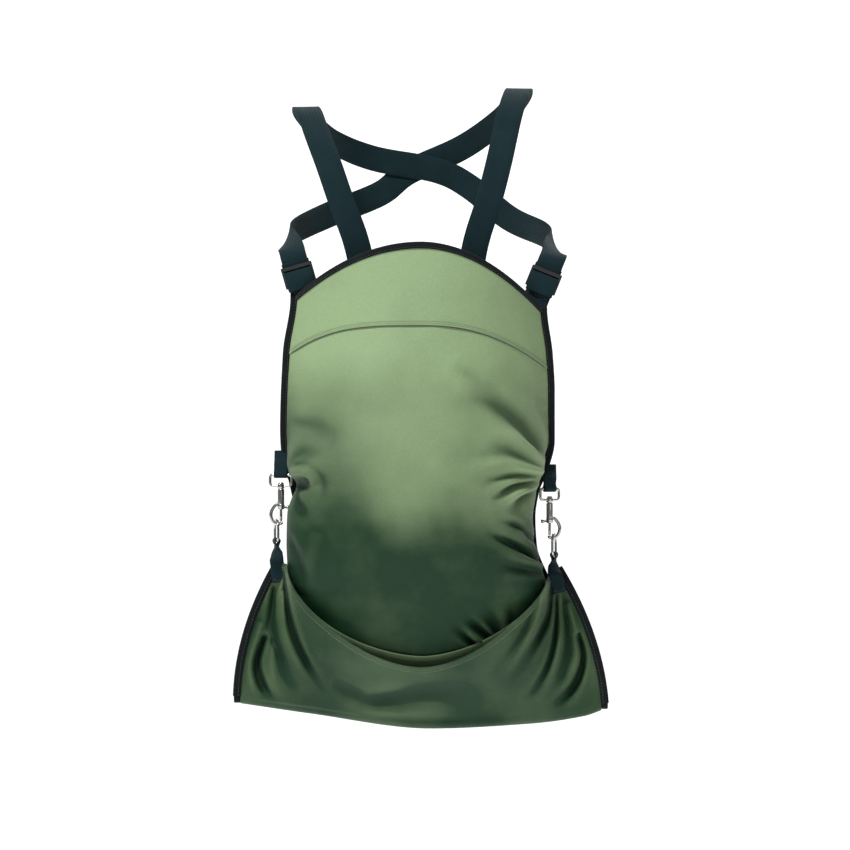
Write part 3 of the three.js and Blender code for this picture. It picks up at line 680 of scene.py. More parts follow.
def front_depth_table():
    """How far the front cloth stands forward, a row for each TABLE_Z and a column for each TABLE_X."""
    rows = []
    for z in TABLE_Z:
        row = np.full(TABLE_X.shape, SEAT_DEPTH)
        for sign in (-1, 1):
            curve = front_point(sign * np.linspace(0.001, 1, CURVE_STEPS), np.full(CURVE_STEPS, z))
            last = np.abs(curve[:, 0]).argmax()
            out = np.append(np.abs(curve[:last + 1, 0]), np.abs(curve[last, 0]) + FALL_AWAY)
            depth = np.append(-curve[:last + 1, 1], SEAT_DEPTH)
            on_side = TABLE_X * sign >= 0
            row[on_side] = np.interp(np.abs(TABLE_X[on_side]), out, depth)
        widened = np.maximum(np.maximum(np.roll(row, 1), np.roll(row, -1)), row)
        rows.append((np.roll(widened, 1) + widened + np.roll(widened, -1)) / 3)
    return np.array(rows)


TABLE_DEPTH = front_depth_table()


def front_depth(x, z):
    """How far forward a layer lying on the front cloth stands at x, z."""
    across = np.clip((x - TABLE_X[0]) / (TABLE_X[1] - TABLE_X[0]), 0, len(TABLE_X) - 1.001)
    up = np.clip((z - TABLE_Z[0]) / (TABLE_Z[1] - TABLE_Z[0]), 0, len(TABLE_Z) - 1.001)
    i, j = up.astype(int), across.astype(int)
    fi, fj = up - i, across - j
    low = TABLE_DEPTH[i, j] * (1 - fj) + TABLE_DEPTH[i, j + 1] * fj
    high = TABLE_DEPTH[i + 1, j] * (1 - fj) + TABLE_DEPTH[i + 1, j + 1] * fj
    return low * (1 - fi) + high * fi


def lip_height(x):
    """The inner lip's height at x: level behind each D-ring tab, and hanging between the two."""
    power = per_side(x, lambda side: side["lip_power"])
    turn = np.minimum(np.abs(x) / per_side(x, lambda side: side["lip_reach"]), 1)
    hang = (1 - turn ** power) ** (1 / power)
    share = ease(x, -120, 120)
    top = SIDES["left"]["lip_top"] * (1 - share) + SIDES["right"]["lip_top"] * share
    return top - LIP_HANG * hang


def chute_point(s, v, gap, depth, gape):
    """A point of a chute layer: s from side to side, v from the fold to the lip."""
    foot_x = s * FOOT_HALF
    turn = np.sin(s * np.pi / 2)
    top_x = turn * per_side(s, lambda side: side["lip_half"])
    top_z = lip_height(top_x) - gap * np.maximum(1 - (turn / LIP_GAP_HALF) ** 2, 0) ** 1.3
    bow = FLAP_BULGE * 4 * v * (1 - v) * np.abs(s) ** 3 * np.sign(s)
    x = foot_x + (top_x - foot_x) * v + bow
    z = layer_foot(foot_x) + (top_z - layer_foot(foot_x)) * v
    y = -depth - front_depth(x, z) - gape * v * (1 - s * s) ** 2
    return np.stack([x, y, z], -1)


def inner_chute(s, v):
    return chute_point(s, v, 0, LAYER_STEP, 0)


def outer_chute(s, v):
    return chute_point(s, v, LIP_GAP, 2 * LAYER_STEP, MOUTH_GAPE)


# ---- Creases ----

# Each crease: points (x, z) along it from its source, depth (positive stands out) and half width.
FRONT_CREASES = [
    # fans out from the right snap loop
    ([(184, -526), (164, -498), (142, -472), (106, -447), (70, -441), (36, -456)], -9, 13),
    ([(182, -540), (152, -524), (118, -508), (84, -506)], -5, 8),
    ([(180, -540), (150, -510), (112, -492), (72, -498)], 5, 11),
    ([(176, -545), (126, -532), (88, -536), (50, -542)], 6, 8),
    ([(178, -552), (138, -549), (104, -556), (80, -568)], -7, 5),
    ([(176, -558), (138, -564), (118, -573), (94, -588)], -11, 5),
    ([(172, -561), (134, -574), (110, -590)], 6, 6),
    ([(166, -566), (146, -580), (126, -604)], -5, 6),
    ([(168, -578), (156, -600), (152, -622)], 4, 7),
    # the pucker at the left snap loop
    ([(-196, -559), (-184, -561), (-174, -565), (-164, -570)], -12, 9),
    ([(-182, -541), (-164, -543), (-151, -558), (-156, -584)], 8, 6),
    ([(-186, -566), (-174, -592), (-158, -612)], -6, 8),
    ([(-192, -530), (-170, -514), (-140, -508)], -3, 10),
    ([(-180, -548), (-150, -536), (-116, -534)], 3, 9),
    # fans out from the right end of the chute's lip
    ([(182, -680), (146, -655), (112, -638), (88, -628)], -11, 5),
    ([(178, -681), (138, -666), (100, -652)], 6, 6),
    ([(180, -668), (157, -636), (134, -619), (104, -612)], -8, 5),
    ([(176, -690), (140, -682), (104, -676)], -4, 6),
    ([(170, -640), (150, -628), (126, -634)], 4, 7),
    # short tucks above the right of the lip
    ([(112, -794), (80, -767), (58, -750)], -10, 5),
    ([(104, -796), (74, -779), (50, -762)], 5, 6),
    ([(92, -806), (64, -780), (38, -760)], -9, 5),
    ([(114, -784), (104, -764), (90, -742)], -5, 6),
    ([(122, -780), (118, -752), (108, -728)], 4, 6),
    # slack cloth elsewhere
    ([(-150, -640), (-158, -690), (-146, -742)], 3, 12),
    ([(-186, -640), (-170, -690), (-160, -730)], -4, 9),
    ([(60, -400), (100, -420), (150, -424)], -3, 16),
    ([(-120, -470), (-60, -500), (0, -516)], 2, 26),
    ([(-184, -470), (-140, -480), (-96, -500)], -2.5, 14),
]
FLAP_CREASES = [
    # from the left D-ring tab
    ([(-197, -690), (-190, -740), (-178, -785), (-158, -830), (-132, -868)], -12, 4.5),
    ([(-205, -700), (-200, -760), (-186, -806), (-164, -850)], 6, 6),
    ([(-196, -706), (-188, -770), (-170, -810), (-146, -846)], -9, 4.5),
    ([(-212, -714), (-216, -764), (-204, -812), (-184, -866)], -5, 7),
    ([(-226, -785), (-237, -820), (-231, -850), (-214, -876), (-186, -896)], -15, 6),
    ([(-232, -770), (-248, -812), (-248, -850), (-236, -880)], 7, 9),
    ([(-214, -800), (-212, -840), (-192, -878)], 5, 8),
    # from the right D-ring tab
    ([(179, -704), (160, -771), (130, -820), (104, -850)], 7, 6),
    ([(188, -708), (184, -750), (165, -790), (148, -812)], -9, 4.5),
    ([(197, -716), (200, -772), (190, -822), (166, -866)], 6, 7),
    ([(196, -722), (194, -782), (184, -821), (164, -858), (146, -876)], -12, 4.5),
    ([(214, -738), (229, -800), (221, -840), (206, -870)], 6, 7),
    ([(228, -780), (234, -812), (224, -848), (206, -872), (184, -890)], -14, 6),
    ([(238, -780), (252, -830), (246, -866)], 5, 8),
    # slow folds along the bottom
    ([(-90, -900), (0, -890), (90, -900)], 3, 14),
    ([(-60, -872), (20, -862), (110, -872)], -3, 16),
    ([(-120, -850), (-70, -872), (0, -880)], -2.5, 12),
]


def crease_lift(points, creases):
    """How far the creases move each point off its sheet: a fold and the slack beside it."""
    lift = np.zeros(points.shape[:-1])
    flat = points[..., [0, 2]]
    for stations, depth, width in creases:
        line = evenly(smooth_line(stations, 8), 4)
        share = np.linspace(0, 1, len(line))
        # strongest near its source, and gone at the far end
        strength = depth * ease(share, -0.12, 0.1) * ease(share, 1.0, 0.45)
        apart = np.linalg.norm(flat[..., None, :] - line, axis=-1)
        nearest = apart.argmin(-1)
        gap = apart.min(-1)
        reach = width * (0.6 + 0.7 * share[nearest])
        ridge = np.exp(-(gap / reach) ** 1.5) - 0.35 * np.exp(-((gap - 1.9 * reach) / reach) ** 2)
        lift += strength[nearest] * ridge
    return lift


def lifted(points, lift):
    return points + grid_normals(points) * lift[..., None]


def pushed_front(points, push):
    """The points moved forward by push, each by its own."""
    return points - np.stack([0 * push, push, 0 * push], -1)


# ---- Cloth pieces ----

def front_grid(low, high, columns, rows):
    """Front cloth between two heights that vary along s, as rows from bottom to top."""
    s = np.linspace(-1, 1, columns)[None, :]
    v = np.linspace(0, 1, rows)[:, None]
    z = low(s) + (high(s) - low(s)) * v
    return front_point(s + 0 * v, z), s + 0 * v, v + 0 * s


PALE_EDGE = -583.0  # where the pale upper front ends at the bag's left


def front_fade_and_shade(points):
    """The upper front is pale and the belly's underside dark: partly the cloth's own tone, mostly painted
    shade where the belly turns down away from the light above.
    """
    x, z = points[..., 0], points[..., 2]
    boundary = PALE_EDGE - 32 * ease(x, -120, -20) + 9 * np.sin(x / 24) + 16 * waves(points, 110, 3)
    # above the boundary the front is painted pale, paler still towards the top that faces the light; below
    # it lies the painted shade of the belly's underside
    upper = ease(z, boundary - 52, boundary + 58)
    # the left of the waist is made darker
    kept = 0.4 * ease(x, -10, -175) * ease(z, -370, -500)
    slow = 0.09 * waves(points, 220, 4)
    paled_and_shaded = upper * (0.7 + 0.3 * ease(z, -480, -340) - kept)
    return np.clip(0.02 + paled_and_shaded + slow * upper, 0, 1)


def crease_painted_light(lift):
    """How a crease changes paleness: painted shade in its floor and a painted highlight on its crest."""
    return np.clip(0.075 * lift, -0.5, 0) + np.clip(0.02 * lift, 0, 0.12)


def seam_puckers(along, inward):
    """Small gathers along a seam, dying out inwards (inward is 0 on the seam and 1 in the middle)."""
    ripple = np.sin(along * 2 * np.pi / 17 + 2.1 * np.sin(along / 31))
    return 0.55 * ripple * np.exp(-inward * 22) * ease(inward, 0, 0.012)


ROW_END = 0.985  # share of the half width at which seams and hems go under the side tapes


def make_belly():
    """The main front panel, from the fold up to under the yoke."""
    seam = 1.0  # the yoke stands this much proud of the panel it is sewn over
    tuck = 7.0  # the panel runs on this far under the yoke
    panel, s, _ = front_grid(lambda q: layer_foot(q * FOOT_HALF), lambda q: yoke_seam_z(q) + tuck,
                             columns=190, rows=210)
    inset = ease(np.abs(s), 1.0, 0.9)  # no crease moves the seam's own edge
    lip = lip_height(panel[..., 0])
    shown = 0.15 + 0.85 * ease(panel[..., 2], lip - 14, lip + 4)  # under the chute the cloth lies flat
    facing = ease(-grid_normals(panel)[..., 1], 0.05, 0.5)  # less where the belly turns away to its sides
    lift = crease_lift(panel, FRONT_CREASES) * (0.2 + 0.8 * inset * facing) * shown
    panel = lifted(panel, lift)
    panel = lifted(panel, seam_puckers(panel[..., 2], 1 - np.abs(s)))
    panel = lifted(panel, 1.2 * waves(panel, 120, 11) * inset - seam * ease(panel[..., 2], -420, -350))
    piece = cloth_piece("belly_panel", panel, MATERIALS["cloth"], front_fade_and_shade(panel) + crease_painted_light(lift))
    place_piece(piece, "bag", "light_cloth", "front_panel")


def make_yoke():
    """The upper front panel, the seam that joins it to the main one, and a painted shadow line under the
    yoke's folded edge.
    """
    yoke, s, v = front_grid(yoke_seam_z, lambda q: mouth_z(q) - 1.0, columns=120, rows=44)
    roll = 0.8 * np.exp(-((v * 110 - 2.5) / 2.2) ** 2)  # the folded edge along the seam
    yoke = lifted(yoke, 0.7 * waves(yoke, 150, 12) * ease(np.abs(s), 1.0, 0.9) * ease(v, 0, 0.2) + roll)
    piece = cloth_piece("yoke_panel", yoke, MATERIALS["cloth"], front_fade_and_shade(yoke))
    place_piece(piece, "bag", "light_cloth", "front_yoke")

    rows = []
    for above in (3.5, 6.5):
        q = np.linspace(-ROW_END, ROW_END, 240)
        line = front_point(q, yoke_seam_z(q) + above)
        rows.append((lifted_line(line, 1.4), front_outward(line)))
    stitches("yoke_stitches", rows, MATERIALS["green_thread"], "bag", "light_cloth")
    # a thin dark tube along the yoke's lower edge: painted shadow under its folded edge
    q = np.linspace(-ROW_END, ROW_END, 160)
    edge = lifted_line(front_point(q, yoke_seam_z(q) - 0.4), 0.5)
    piece = tube("yoke_seam_shadow", edge, 0.7, MATERIALS["painted_seam_shadow"], sides=8)
    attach(piece, "bag")


def front_outward(line):
    """The way off the front cloth along a line that runs from left to right."""
    forward = unit(np.gradient(line, axis=0))
    return unit(np.cross(forward, np.array([0.0, -0.35, 1.0])))


def lifted_line(line, off):
    return line + front_outward(line) * off


REAR_ROWS = 60
ROLL_ROWS = 14
FLAP_ROWS = 96
LAYER_ROOM = 9.0  # no crease of the chute reaches deeper than this


def long_sheet_points():
    """The rear cloth, the fold and the flap's outer layer, as one grid from the lip down and up the back,
    and the painted shade and painted highlights of its creases."""
    columns = 240
    s = np.linspace(-1, 1, columns)[None, :]
    lip_to_foot = np.linspace(1, 0, FLAP_ROWS)[:, None]
    flap = outer_chute(s + 0 * lip_to_foot, lip_to_foot + 0 * s)
    taper = ease(lip_to_foot, 0.0, 0.12) * ease(np.abs(s), 1.0, 0.94)
    lift = crease_lift(flap, FLAP_CREASES) * taper
    push = np.maximum(lift, -LAYER_ROOM) + 0.7 * waves(flap, 110, 21) * taper
    flap = pushed_front(flap, push)

    turn = np.pi * np.linspace(1, 0, ROLL_ROWS + 2)[1:-1, None]
    x = s * FOOT_HALF + 0 * turn
    front_y = -SEAT_DEPTH - 2 * LAYER_STEP
    y = REAR_Y + (front_y - REAR_Y) * (1 - np.cos(turn)) / 2 + 0 * s
    z = fold_z(x) + FOLD_ROLL - FOLD_ROLL * np.sin(turn)
    fold = np.stack([x, y, z], -1)

    up = np.linspace(0, 1, REAR_ROWS)[:, None]
    low = layer_foot(s * FOOT_HALF)
    z = low + (rear_mouth_z(s) - 1.0 - low) * up
    half = per_side(s + 0 * up, lambda side: cloth_x(side, z))
    spread = (FOOT_HALF - per_side(s, lambda side: cloth_x(side, low))) * ease(up, 0.06, 0.0)
    x = s * (half + spread)
    slack = 0.9 * waves(np.stack([x, 0 * x, z], -1), 170, 22) * ease(np.abs(s), 1.0, 0.9) * ease(up, 0, 0.1)
    rear = np.stack([x, REAR_Y + slack, z], -1)
    shade = np.vstack([crease_painted_light(lift), np.zeros((len(fold) + len(rear), columns))])
    return np.vstack([flap, fold, rear]), shade


def make_long_sheet():
    points, shade = long_sheet_points()
    x, y, z = points[..., 0], points[..., 1], points[..., 2]
    flap = ease(y, -10, -14)
    rim = ease(z, -770, -690) * ease(np.abs(x), 120, 190)
    front = 0.08 + 0.18 * rim + 0.04 * waves(points, 130, 31)
    back = 0.32 + 0.3 * ease(z, -620, -300) + 0.08 * waves(points, 200, 32)
    # rows run from the lip down the flap, so they are turned round to run upwards
    paleness = flap * front + (1 - flap) * back + shade
    piece = cloth_piece("long_sheet", points[::-1], MATERIALS["cloth"], paleness[::-1])
    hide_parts("rear_panel", "chute_fold_outer", "chute_outer")
    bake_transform(piece)


def make_inner_chute():
    """The layer behind the flap, whose upper edge shows between the two lips."""
    s = np.linspace(-1, 1, 200)[None, :]
    v = np.linspace(0, 1, 70)[:, None]
    points = inner_chute(s + 0 * v, v + 0 * s)
    # it gives way under the flap's creases
    taper = ease(v, 0.0, 0.12) * ease(np.abs(s), 1.0, 0.94)
    push = np.clip(crease_lift(points, FLAP_CREASES), -LAYER_ROOM, LAYER_ROOM) * taper * 0.6
    points = pushed_front(points, push)
    paleness = 0.3 + 0.35 * ease(v + 0 * s, 0.8, 1.0) + 0.06 * waves(points, 90, 42)
    piece = cloth_piece("chute_lining", points, MATERIALS["cloth"], paleness)
    place_piece(piece, "chute", "dark_cloth", "chute_inner")


def make_fold_lining():
    """The inner layer's turn at the fold."""
    s = np.linspace(-1, 1, 200)[None, :]
    turn = np.pi * np.linspace(0, 1, 12)[:, None]
    x = s * FOOT_HALF + 0 * turn
    y = -SEAT_DEPTH - LAYER_STEP * (1 - np.cos(turn)) / 2 + 0 * s
    z = fold_z(x) + FOLD_ROLL - FOLD_ROLL / 3 * np.sin(turn)
    points = np.stack([x, y, z], -1)[::-1]
    piece = cloth_piece("fold_lining", points, MATERIALS["cloth"], np.full(x.shape, 0.3))
    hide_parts("chute_fold_inner")
    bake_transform(piece)


# ---- Bound edges ----

def bound_edge(name, edge, inward, outward, width, half_gap, material, thick=0.8):
    """Tape folded over an edge: inward points into the cloth and outward off its front."""
    half = half_gap + thick
    outer = [(width, half), (width * 0.5, half + 0.25), (1.2, half), (-0.5, half * 0.75), (-1.1, half * 0.3)]
    inner = [(0.2, half_gap * 0.4), (1.4, half_gap), (width, half_gap)]
    back = [(reach, -off) for reach, off in (*outer[::-1], *inner[::-1])]
    section = np.array([*outer, *back, *inner])
    return carried(name, edge, inward, outward, section, lengths_along(section), material)


STITCH_INSET = 6.8  # from a tape's outer edge to its stitches


def rows_on_both_faces(edge, inward, outward, off):
    """Stitch rows on the front and the back of a tape, each off its middle by off."""
    line = edge + inward * STITCH_INSET
    return [(line + outward * off, outward), (line - outward * off, -outward)]


def make_mouth_tapes():
    q = np.linspace(-1, 1, 140)
    edge = front_point(q, mouth_z(q))
    below = front_point(q, mouth_z(q) - BINDING)
    inward = unit(below - edge)
    outward = unit(np.cross(unit(np.gradient(edge, axis=0)), -inward))
    piece = bound_edge("mouth_tape_front", edge, inward, outward, BINDING, 0.9, MATERIALS["tape"])
    place_piece(piece, "bag", "tape", "front_mouth_binding")
    front_row = (edge + inward * STITCH_INSET + outward * 2.0, outward)

    lock_room = 2.2  # keeps the tape's ends clear of a tilted ladder lock
    half = per_side(q, lambda side: cloth_x(side, rear_mouth_z(q))) - lock_room
    edge = np.stack([q * half, np.full(q.shape, -1.6), rear_mouth_z(q)], -1)
    inward = unit(np.cross(unit(np.gradient(edge, axis=0)), BACK))
    inward *= -np.sign(inward[:, 2:])
    outward = np.broadcast_to(FRONT, edge.shape)
    piece = bound_edge("mouth_tape_rear", edge, inward, outward, BINDING, 0.75, MATERIALS["tape"], thick=0.6)
    place_piece(piece, "bag", "tape", "rear_mouth_binding")
    rear_row = (edge + inward * STITCH_INSET + outward * 1.7, outward)
    stitches("mouth_stitches", [front_row, rear_row], MATERIALS["black_thread"], "bag", "tape")


def side_line(side, steps=130):
    """The outer edge of a side seam, from its top corner down to the fold, and the way into the cloth."""
    z = np.linspace(rear_mouth_z(np.array(float(side["sign"]))), layer_foot(side["sign"] * FOLD_HALF), steps)
    x = side["sign"] * seam_x(side, z)
    edge = np.stack([x, np.full(x.shape, SEAM_Y), z], -1)
    forward = unit(np.gradient(edge, axis=0))
    inward = np.cross(forward, BACK)
    inward *= -np.sign(inward[:, :1]) * side["sign"]
    return edge, unit(inward)


def make_side_tapes(name, side):
    """The tape down a side seam, round the fold's corner and up the flap's side, as two pieces."""
    edge, inward = side_line(side)
    outward = np.broadcast_to(FRONT, edge.shape)
    piece = bound_edge(f"side_tape_{name}", edge, inward, outward, BINDING, 3.0,
                       MATERIALS["tape"], thick=0.9)
    place_piece(piece, "bag", "tape", f"side_binding_{name}")
    rows = rows_on_both_faces(edge, inward, outward, 4.2)
    stitches(f"side_stitches_{name}", rows, MATERIALS["black_thread"], "bag", "tape")

    v = np.linspace(0, 1, 60)
    s = np.full(v.shape, float(side["sign"]))
    middle = inner_chute(s, v)
    out = side["sign"] * (1 + BINDING)
    edge = np.stack([middle[:, 0] + out, np.full(v.shape, FLAP_TAPE_Y), middle[:, 2]], -1)
    inward = unit(np.cross(unit(np.gradient(edge, axis=0)), FRONT))
    inward *= -np.sign(inward[:, :1]) * side["sign"]
    outward = np.broadcast_to(FRONT, edge.shape)
    piece = bound_edge(f"flap_tape_{name}", edge, inward, outward, BINDING + 1.5, 4.2,
                       MATERIALS["tape"], thick=0.9)
    place_piece(piece, "chute", "tape", f"chute_binding_{name}")
    rows = rows_on_both_faces(edge, inward, outward, 5.4)
    stitches(f"flap_stitches_{name}", rows, MATERIALS["black_thread"], "chute", "tape")
    make_fold_tape(name, side)


def make_fold_tape(name, side):
    """The tape's turn round the end of the fold, between the seam's tape and the flap's."""
    x = side["sign"] * (FOLD_HALF - BINDING / 2)
    turn = np.linspace(0, np.pi, 17)
    middle_y = (SEAM_Y + FLAP_TAPE_Y) / 2
    reach = (SEAM_Y - FLAP_TAPE_Y) / 2
    y = middle_y + reach * np.cos(turn)
    z = layer_foot(x) - FOLD_ROLL * np.sin(turn)
    line = np.stack([np.full(turn.shape, x), y, z], -1)
    looks = np.stack([0 * turn, np.cos(turn), -np.sin(turn)], -1)
    piece = ribbon(f"fold_tape_{name}", line, looks, BINDING + 1, 2.4, MATERIALS["tape"])
    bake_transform(piece)


HEM = 10.0  # height of the chute's hems


def make_hems():
    """The chute's two hems: the lips, rolled over and sewn down."""
    rows = []
    layers = (("inner", inner_chute, 0.42), ("outer", outer_chute, 0.12))
    for name, surface, paleness in layers:
        s = np.linspace(-ROW_END, ROW_END, 150)
        edge = surface(s, np.ones(s.shape))
        drop = surface(s, np.full(s.shape, 0.9))
        inward = unit(drop - edge)
        outward = unit(np.cross(unit(np.gradient(edge, axis=0)), -inward))
        piece = bound_edge(f"{name}_lip_hem", edge, inward, outward, HEM, 0.6, MATERIALS["cloth"], thick=0.4)
        add_value(piece, "paleness", np.full(len(piece.data.vertices), paleness))
        place_piece(piece, "chute", "dark_cloth", f"chute_{name}_hem")
        rows.append((edge + inward * (HEM - 2) + outward * 1.3, outward))
    stitches("lip_stitches", rows, MATERIALS["green_thread"], "chute", "dark_cloth")


# ---- Webbing ----

def strap_stations(side, far):
    """Places and looks of a strap, from behind the mouth over its shoulder to the far side's lock."""
    x, z = side["crest"]
    sewn = -SEAT_DEPTH + 2.6
    lean = math.radians(abs(far["lock_lean"]))
    crossing = side["crossing"]
    away = far["sign"]
    lock_x, lock_z = far["lock"]
    end_x = lock_x + away * LOCK_TOP * math.sin(lean)
    end_z = lock_z + LOCK_TOP * math.cos(lean)

    def up_lock(reach, y):
        return (end_x + away * reach * math.sin(lean), y, end_z + reach * math.cos(lean))

    return [
        ((0.44 * x, sewn, -325), (0, -1, 0)),
        ((0.5 * x, sewn, -250), (0, -1, 0)),
        ((0.56 * x, sewn - 0.3, -205), (0, -1, 0)),
        ((0.68 * x, 0, -150), (0, -1, 0.1)),
        ((0.78 * x, 12, -98 + z / 4), (0, -1, 0.35)),
        ((0.88 * x, 36, -46 + z), (0, -1, 0.8)),
        ((0.96 * x, 70, -8 + z), (0, -0.6, 1)),
        ((x, CREST_Y, z), (0, 0, 1)),
        ((0.98 * x, 150, z - 12), (0, 0.5, 1)),
        ((0.78 * x, 200, z - 42), (0, 1, 0.6)),
        ((0.42 * x, crossing - 4, 0.6 * z - 70), (0, 1, 0.2)),
        ((-0.13 * x, crossing, -94 - 0.1 * z), (0, 1, 0)),
        ((-0.42 * x, crossing - 5, -121 - 0.4 * z), (0, 1, 0)),
        ((away * 132, 200, end_z + 80), (0.25 * away, 1, 0)),
        ((away * 180, 140, end_z + 54), (away, 0.6, 0)),
        ((away * 195, 85, end_z + 38), (away, 0, 0.2)),
        ((away * 195, 46, end_z + 30), (away, -0.1, 1)),
        (up_lock(22, 15), (away * 0.2, -0.8, 0.7)),
        (up_lock(8, 2), (0, -1, 0.2)),
        (up_lock(-8, LOCK_Y + LOCK_WEB_Y + 2), (0, -1, 0)),
    ]


def web_between(name, stations, width, steps, part=slice(None)):
    """Webbing through stations, each a place and the way its face looks there."""
    places, looks = zip(*stations)
    line, looks = smooth_line(places, steps), smooth_line(looks, steps)
    return ribbon(name, line, looks, width, WEB_THICK, MATERIALS["webbing"], part)


def make_strap(name, far_name):
    """The strap as two pieces cut at the ribs: its end by the ladder lock, left on its own, and the rest,
    which rides on the bag.
    """
    side, far = SIDES[name], SIDES[far_name]
    stations = strap_stations(side, far)
    steps = 9
    cut = (len(stations) - 5) * steps
    end = web_between(f"strap_end_{name}", stations, WEB, steps, slice(cut, None))
    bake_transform(end)
    piece = web_between(f"strap_{name}", stations, WEB, steps, slice(0, cut + 1))
    place_piece(piece, "bag", "webbing", f"shoulder_strap_{name}")


def folded_tab_stations(bar, yaw, rise, route, inner):
    """Stations of webbing folded round a level bar turned by yaw, whose plies leave along the route."""
    middle = np.array(bar, float)
    face = np.array([math.sin(yaw), -math.cos(yaw), 0])
    away = np.array([0, 0, float(rise)])
    radius = inner + WEB_THICK / 2
    tail = [(middle + away * 2 * radius, face)]
    turns_over = max(len(route) - 1, 1)
    for i, point in enumerate(route):
        turned = math.sin(math.pi / 2 * min((i + 1) / turns_over, 1))
        tail.append((np.array(point, float), face + (FRONT - face) * turned))
    turns = np.radians([0, 45, 90, 135, 180])
    round_bar = [(middle + (face * math.cos(t) - away * math.sin(t)) * radius,
                  face * math.cos(t) - away * math.sin(t)) for t in turns]

    def ply(way):
        plied = []
        for i, (point, look) in enumerate(tail):
            forward = tail[min(i + 1, len(tail) - 1)][0] - tail[i - 1][0] if i > 0 else away
            off = unit(np.cross(np.cross(forward, look), forward)) * way
            plied.append((point + off * (WEB_THICK + PLY_GAP) / 2, off))
        return plied

    def neck(way):
        return [(middle + away * 1.2 * radius + face * 0.55 * way * radius, face * way)]

    return [*ply(1)[::-1], *neck(1), *round_bar, *neck(-1), *ply(-1)]


def box_stitch(corners):
    """Stitch lines round a four-cornered patch that faces the front, and from corner to corner."""
    a, b, c, d = (np.array(p, float) for p in corners)
    lines = [(a, b), (b, c), (c, d), (d, a), (a, c), (b, d)]
    return [(np.linspace(p, q, 12), FRONT) for p, q in lines]


ON_WEB = 2.3  # from the middle of two sewn plies to the stitches on their front
TAIL_SPREAD = 2.6  # how much the tail widens where it fills the ladder lock


def make_corner(name, side):
    """The corner's folded tab and the strap's adjusting tail through the ladder lock."""
    lean = math.radians(side["lock_lean"])
    x, z = side["lock"]
    bar = (x, LOCK_Y, z)
    turn = np.array([[math.cos(lean), 0, math.sin(lean)], [0, 1, 0], [-math.sin(lean), 0, math.cos(lean)]])

    def placed(stations):
        return [(turn @ np.array(place, float) + bar, turn @ np.array(look, float))
                for place, look in stations]

    tab = placed(folded_tab_stations((0, 0, 0), 0.0, -1, [(0, 0, -30)], LOCK_LOOP))
    piece = web_between(f"corner_web_{name}", tab, WEB, 5)
    place_piece(piece, "bag", "webbing", f"corner_tab_{name}")
    patch = [turn @ np.array((across, -ON_WEB, up)) + bar
             for across, up in ((-15, -11), (15, -11), (15, -25), (-15, -25))]
    stitches(f"corner_stitches_{name}", box_stitch(patch), MATERIALS["black_thread"], "bag", "webbing")

    behind, ahead, slot_z = LOCK_WEB_Y, LOCK_LOOP + WEB_THICK + 1.6, 19.5
    tail = placed([
        ((0, behind, LOCK_TOP - 0.3), (0, -1, 0)),
        ((0, behind, slot_z + 5), (0, -1, 0)),
        ((0, behind - 2.2, slot_z + 0.8), (0, -0.5, 1)),
        ((0, -behind + 1.6, slot_z + 0.4), (0, -0.4, 1)),
        ((0, -behind - 1.2, slot_z - 4), (0, -1, 0.3)),
        ((0, -ahead, 6), (0, -1, 0)),
        ((0, -ahead, -8), (0, -1, 0)),
    ])
    piece = web_between(f"tail_web_{name}", tail, WEB + TAIL_SPREAD, 8)
    place_piece(piece, f"buckle_{name}", "webbing", f"strap_tail_{name}")
    soften(recoloured(f"ladder_lock_{name}", MATERIALS["plastic"]), 0.6)


def recoloured(node_name, material):
    """A node kept from the CAD, in a material of this scene."""
    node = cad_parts[node_name]
    node.data.materials.clear()
    node.data.materials.append(material)
    return node


def soften(piece, width):
    """Rounds the piece's edges."""
    bevel = piece.modifiers.new("edges", "BEVEL")
    bevel.width = width * MM
    bevel.segments = 3
    bevel.limit_method = "ANGLE"


# ---- Snaps and D-rings ----

def arc(centre, radius, start, stop, steps):
    turn = np.radians(np.linspace(start, stop, steps))
    return np.stack([centre[0] + radius * np.cos(turn), 0 * turn, centre[1] + radius * np.sin(turn)], -1)


def turned_about_z(points, degrees, place):
    turn = math.radians(degrees)
    spin = np.array([[math.cos(turn), -math.sin(turn), 0], [math.sin(turn), math.cos(turn), 0], [0, 0, 1]])
    return np.asarray(points, float) @ spin.T + np.asarray(place, float)


def spin_piece(piece, degrees, place):
    points = np.array([v.co for v in piece.data.vertices]) / MM
    moved = turned_about_z(points, degrees, place) * MM
    piece.data.vertices.foreach_set("co", moved.astype(np.float32).ravel())
    piece.data.update()
    return piece


ON_AXIS = 0.01  # radius of a turned piece's ends, so that their faces keep an area


def make_eye(name, side):
    """The rectangular eye, with the swivel's boss on its lower bar."""
    half, height, corner = 16.0, 16.0, 4.0
    right, top, bottom = half - corner, -corner, -height + corner
    corners = [arc((right, top), corner, 90, 0, 8), arc((right, bottom), corner, 0, -90, 8),
               arc((-right, bottom), corner, -90, -180, 8), arc((-right, top), corner, 180, 90, 8)]
    line = closed_evenly(corners, 1.4)
    wire = tube(f"eye_{name}", line, 2.0, MATERIALS["nickel"], closed=True)
    boss_profile = [(2.65, 2.6), (4.2, 2.6), (5, 1.8), (5, -3), (4.3, -4), (2.65, -4), (2.65, 2.6)]
    boss = turned(f"boss_{name}", boss_profile, MATERIALS["nickel"], (0, 0, -height))
    piece = spin_piece(joined(f"eye_{name}", [wire, boss]), side["eye_yaw"], snap_place(side))
    place_piece(piece, f"eye_{name}", "nickel", f"snap_eye_{name}")


def snap_place(side):
    """The middle of the eye's upper bar, from which the snap hangs."""
    x, z = side["snap"]
    return x, SNAP_Y, z


def closed_evenly(parts, spacing):
    """Parts of a closed line joined up and respaced evenly."""
    line = np.vstack([*parts, parts[0][:1]])
    return evenly(line, spacing)[:-1]


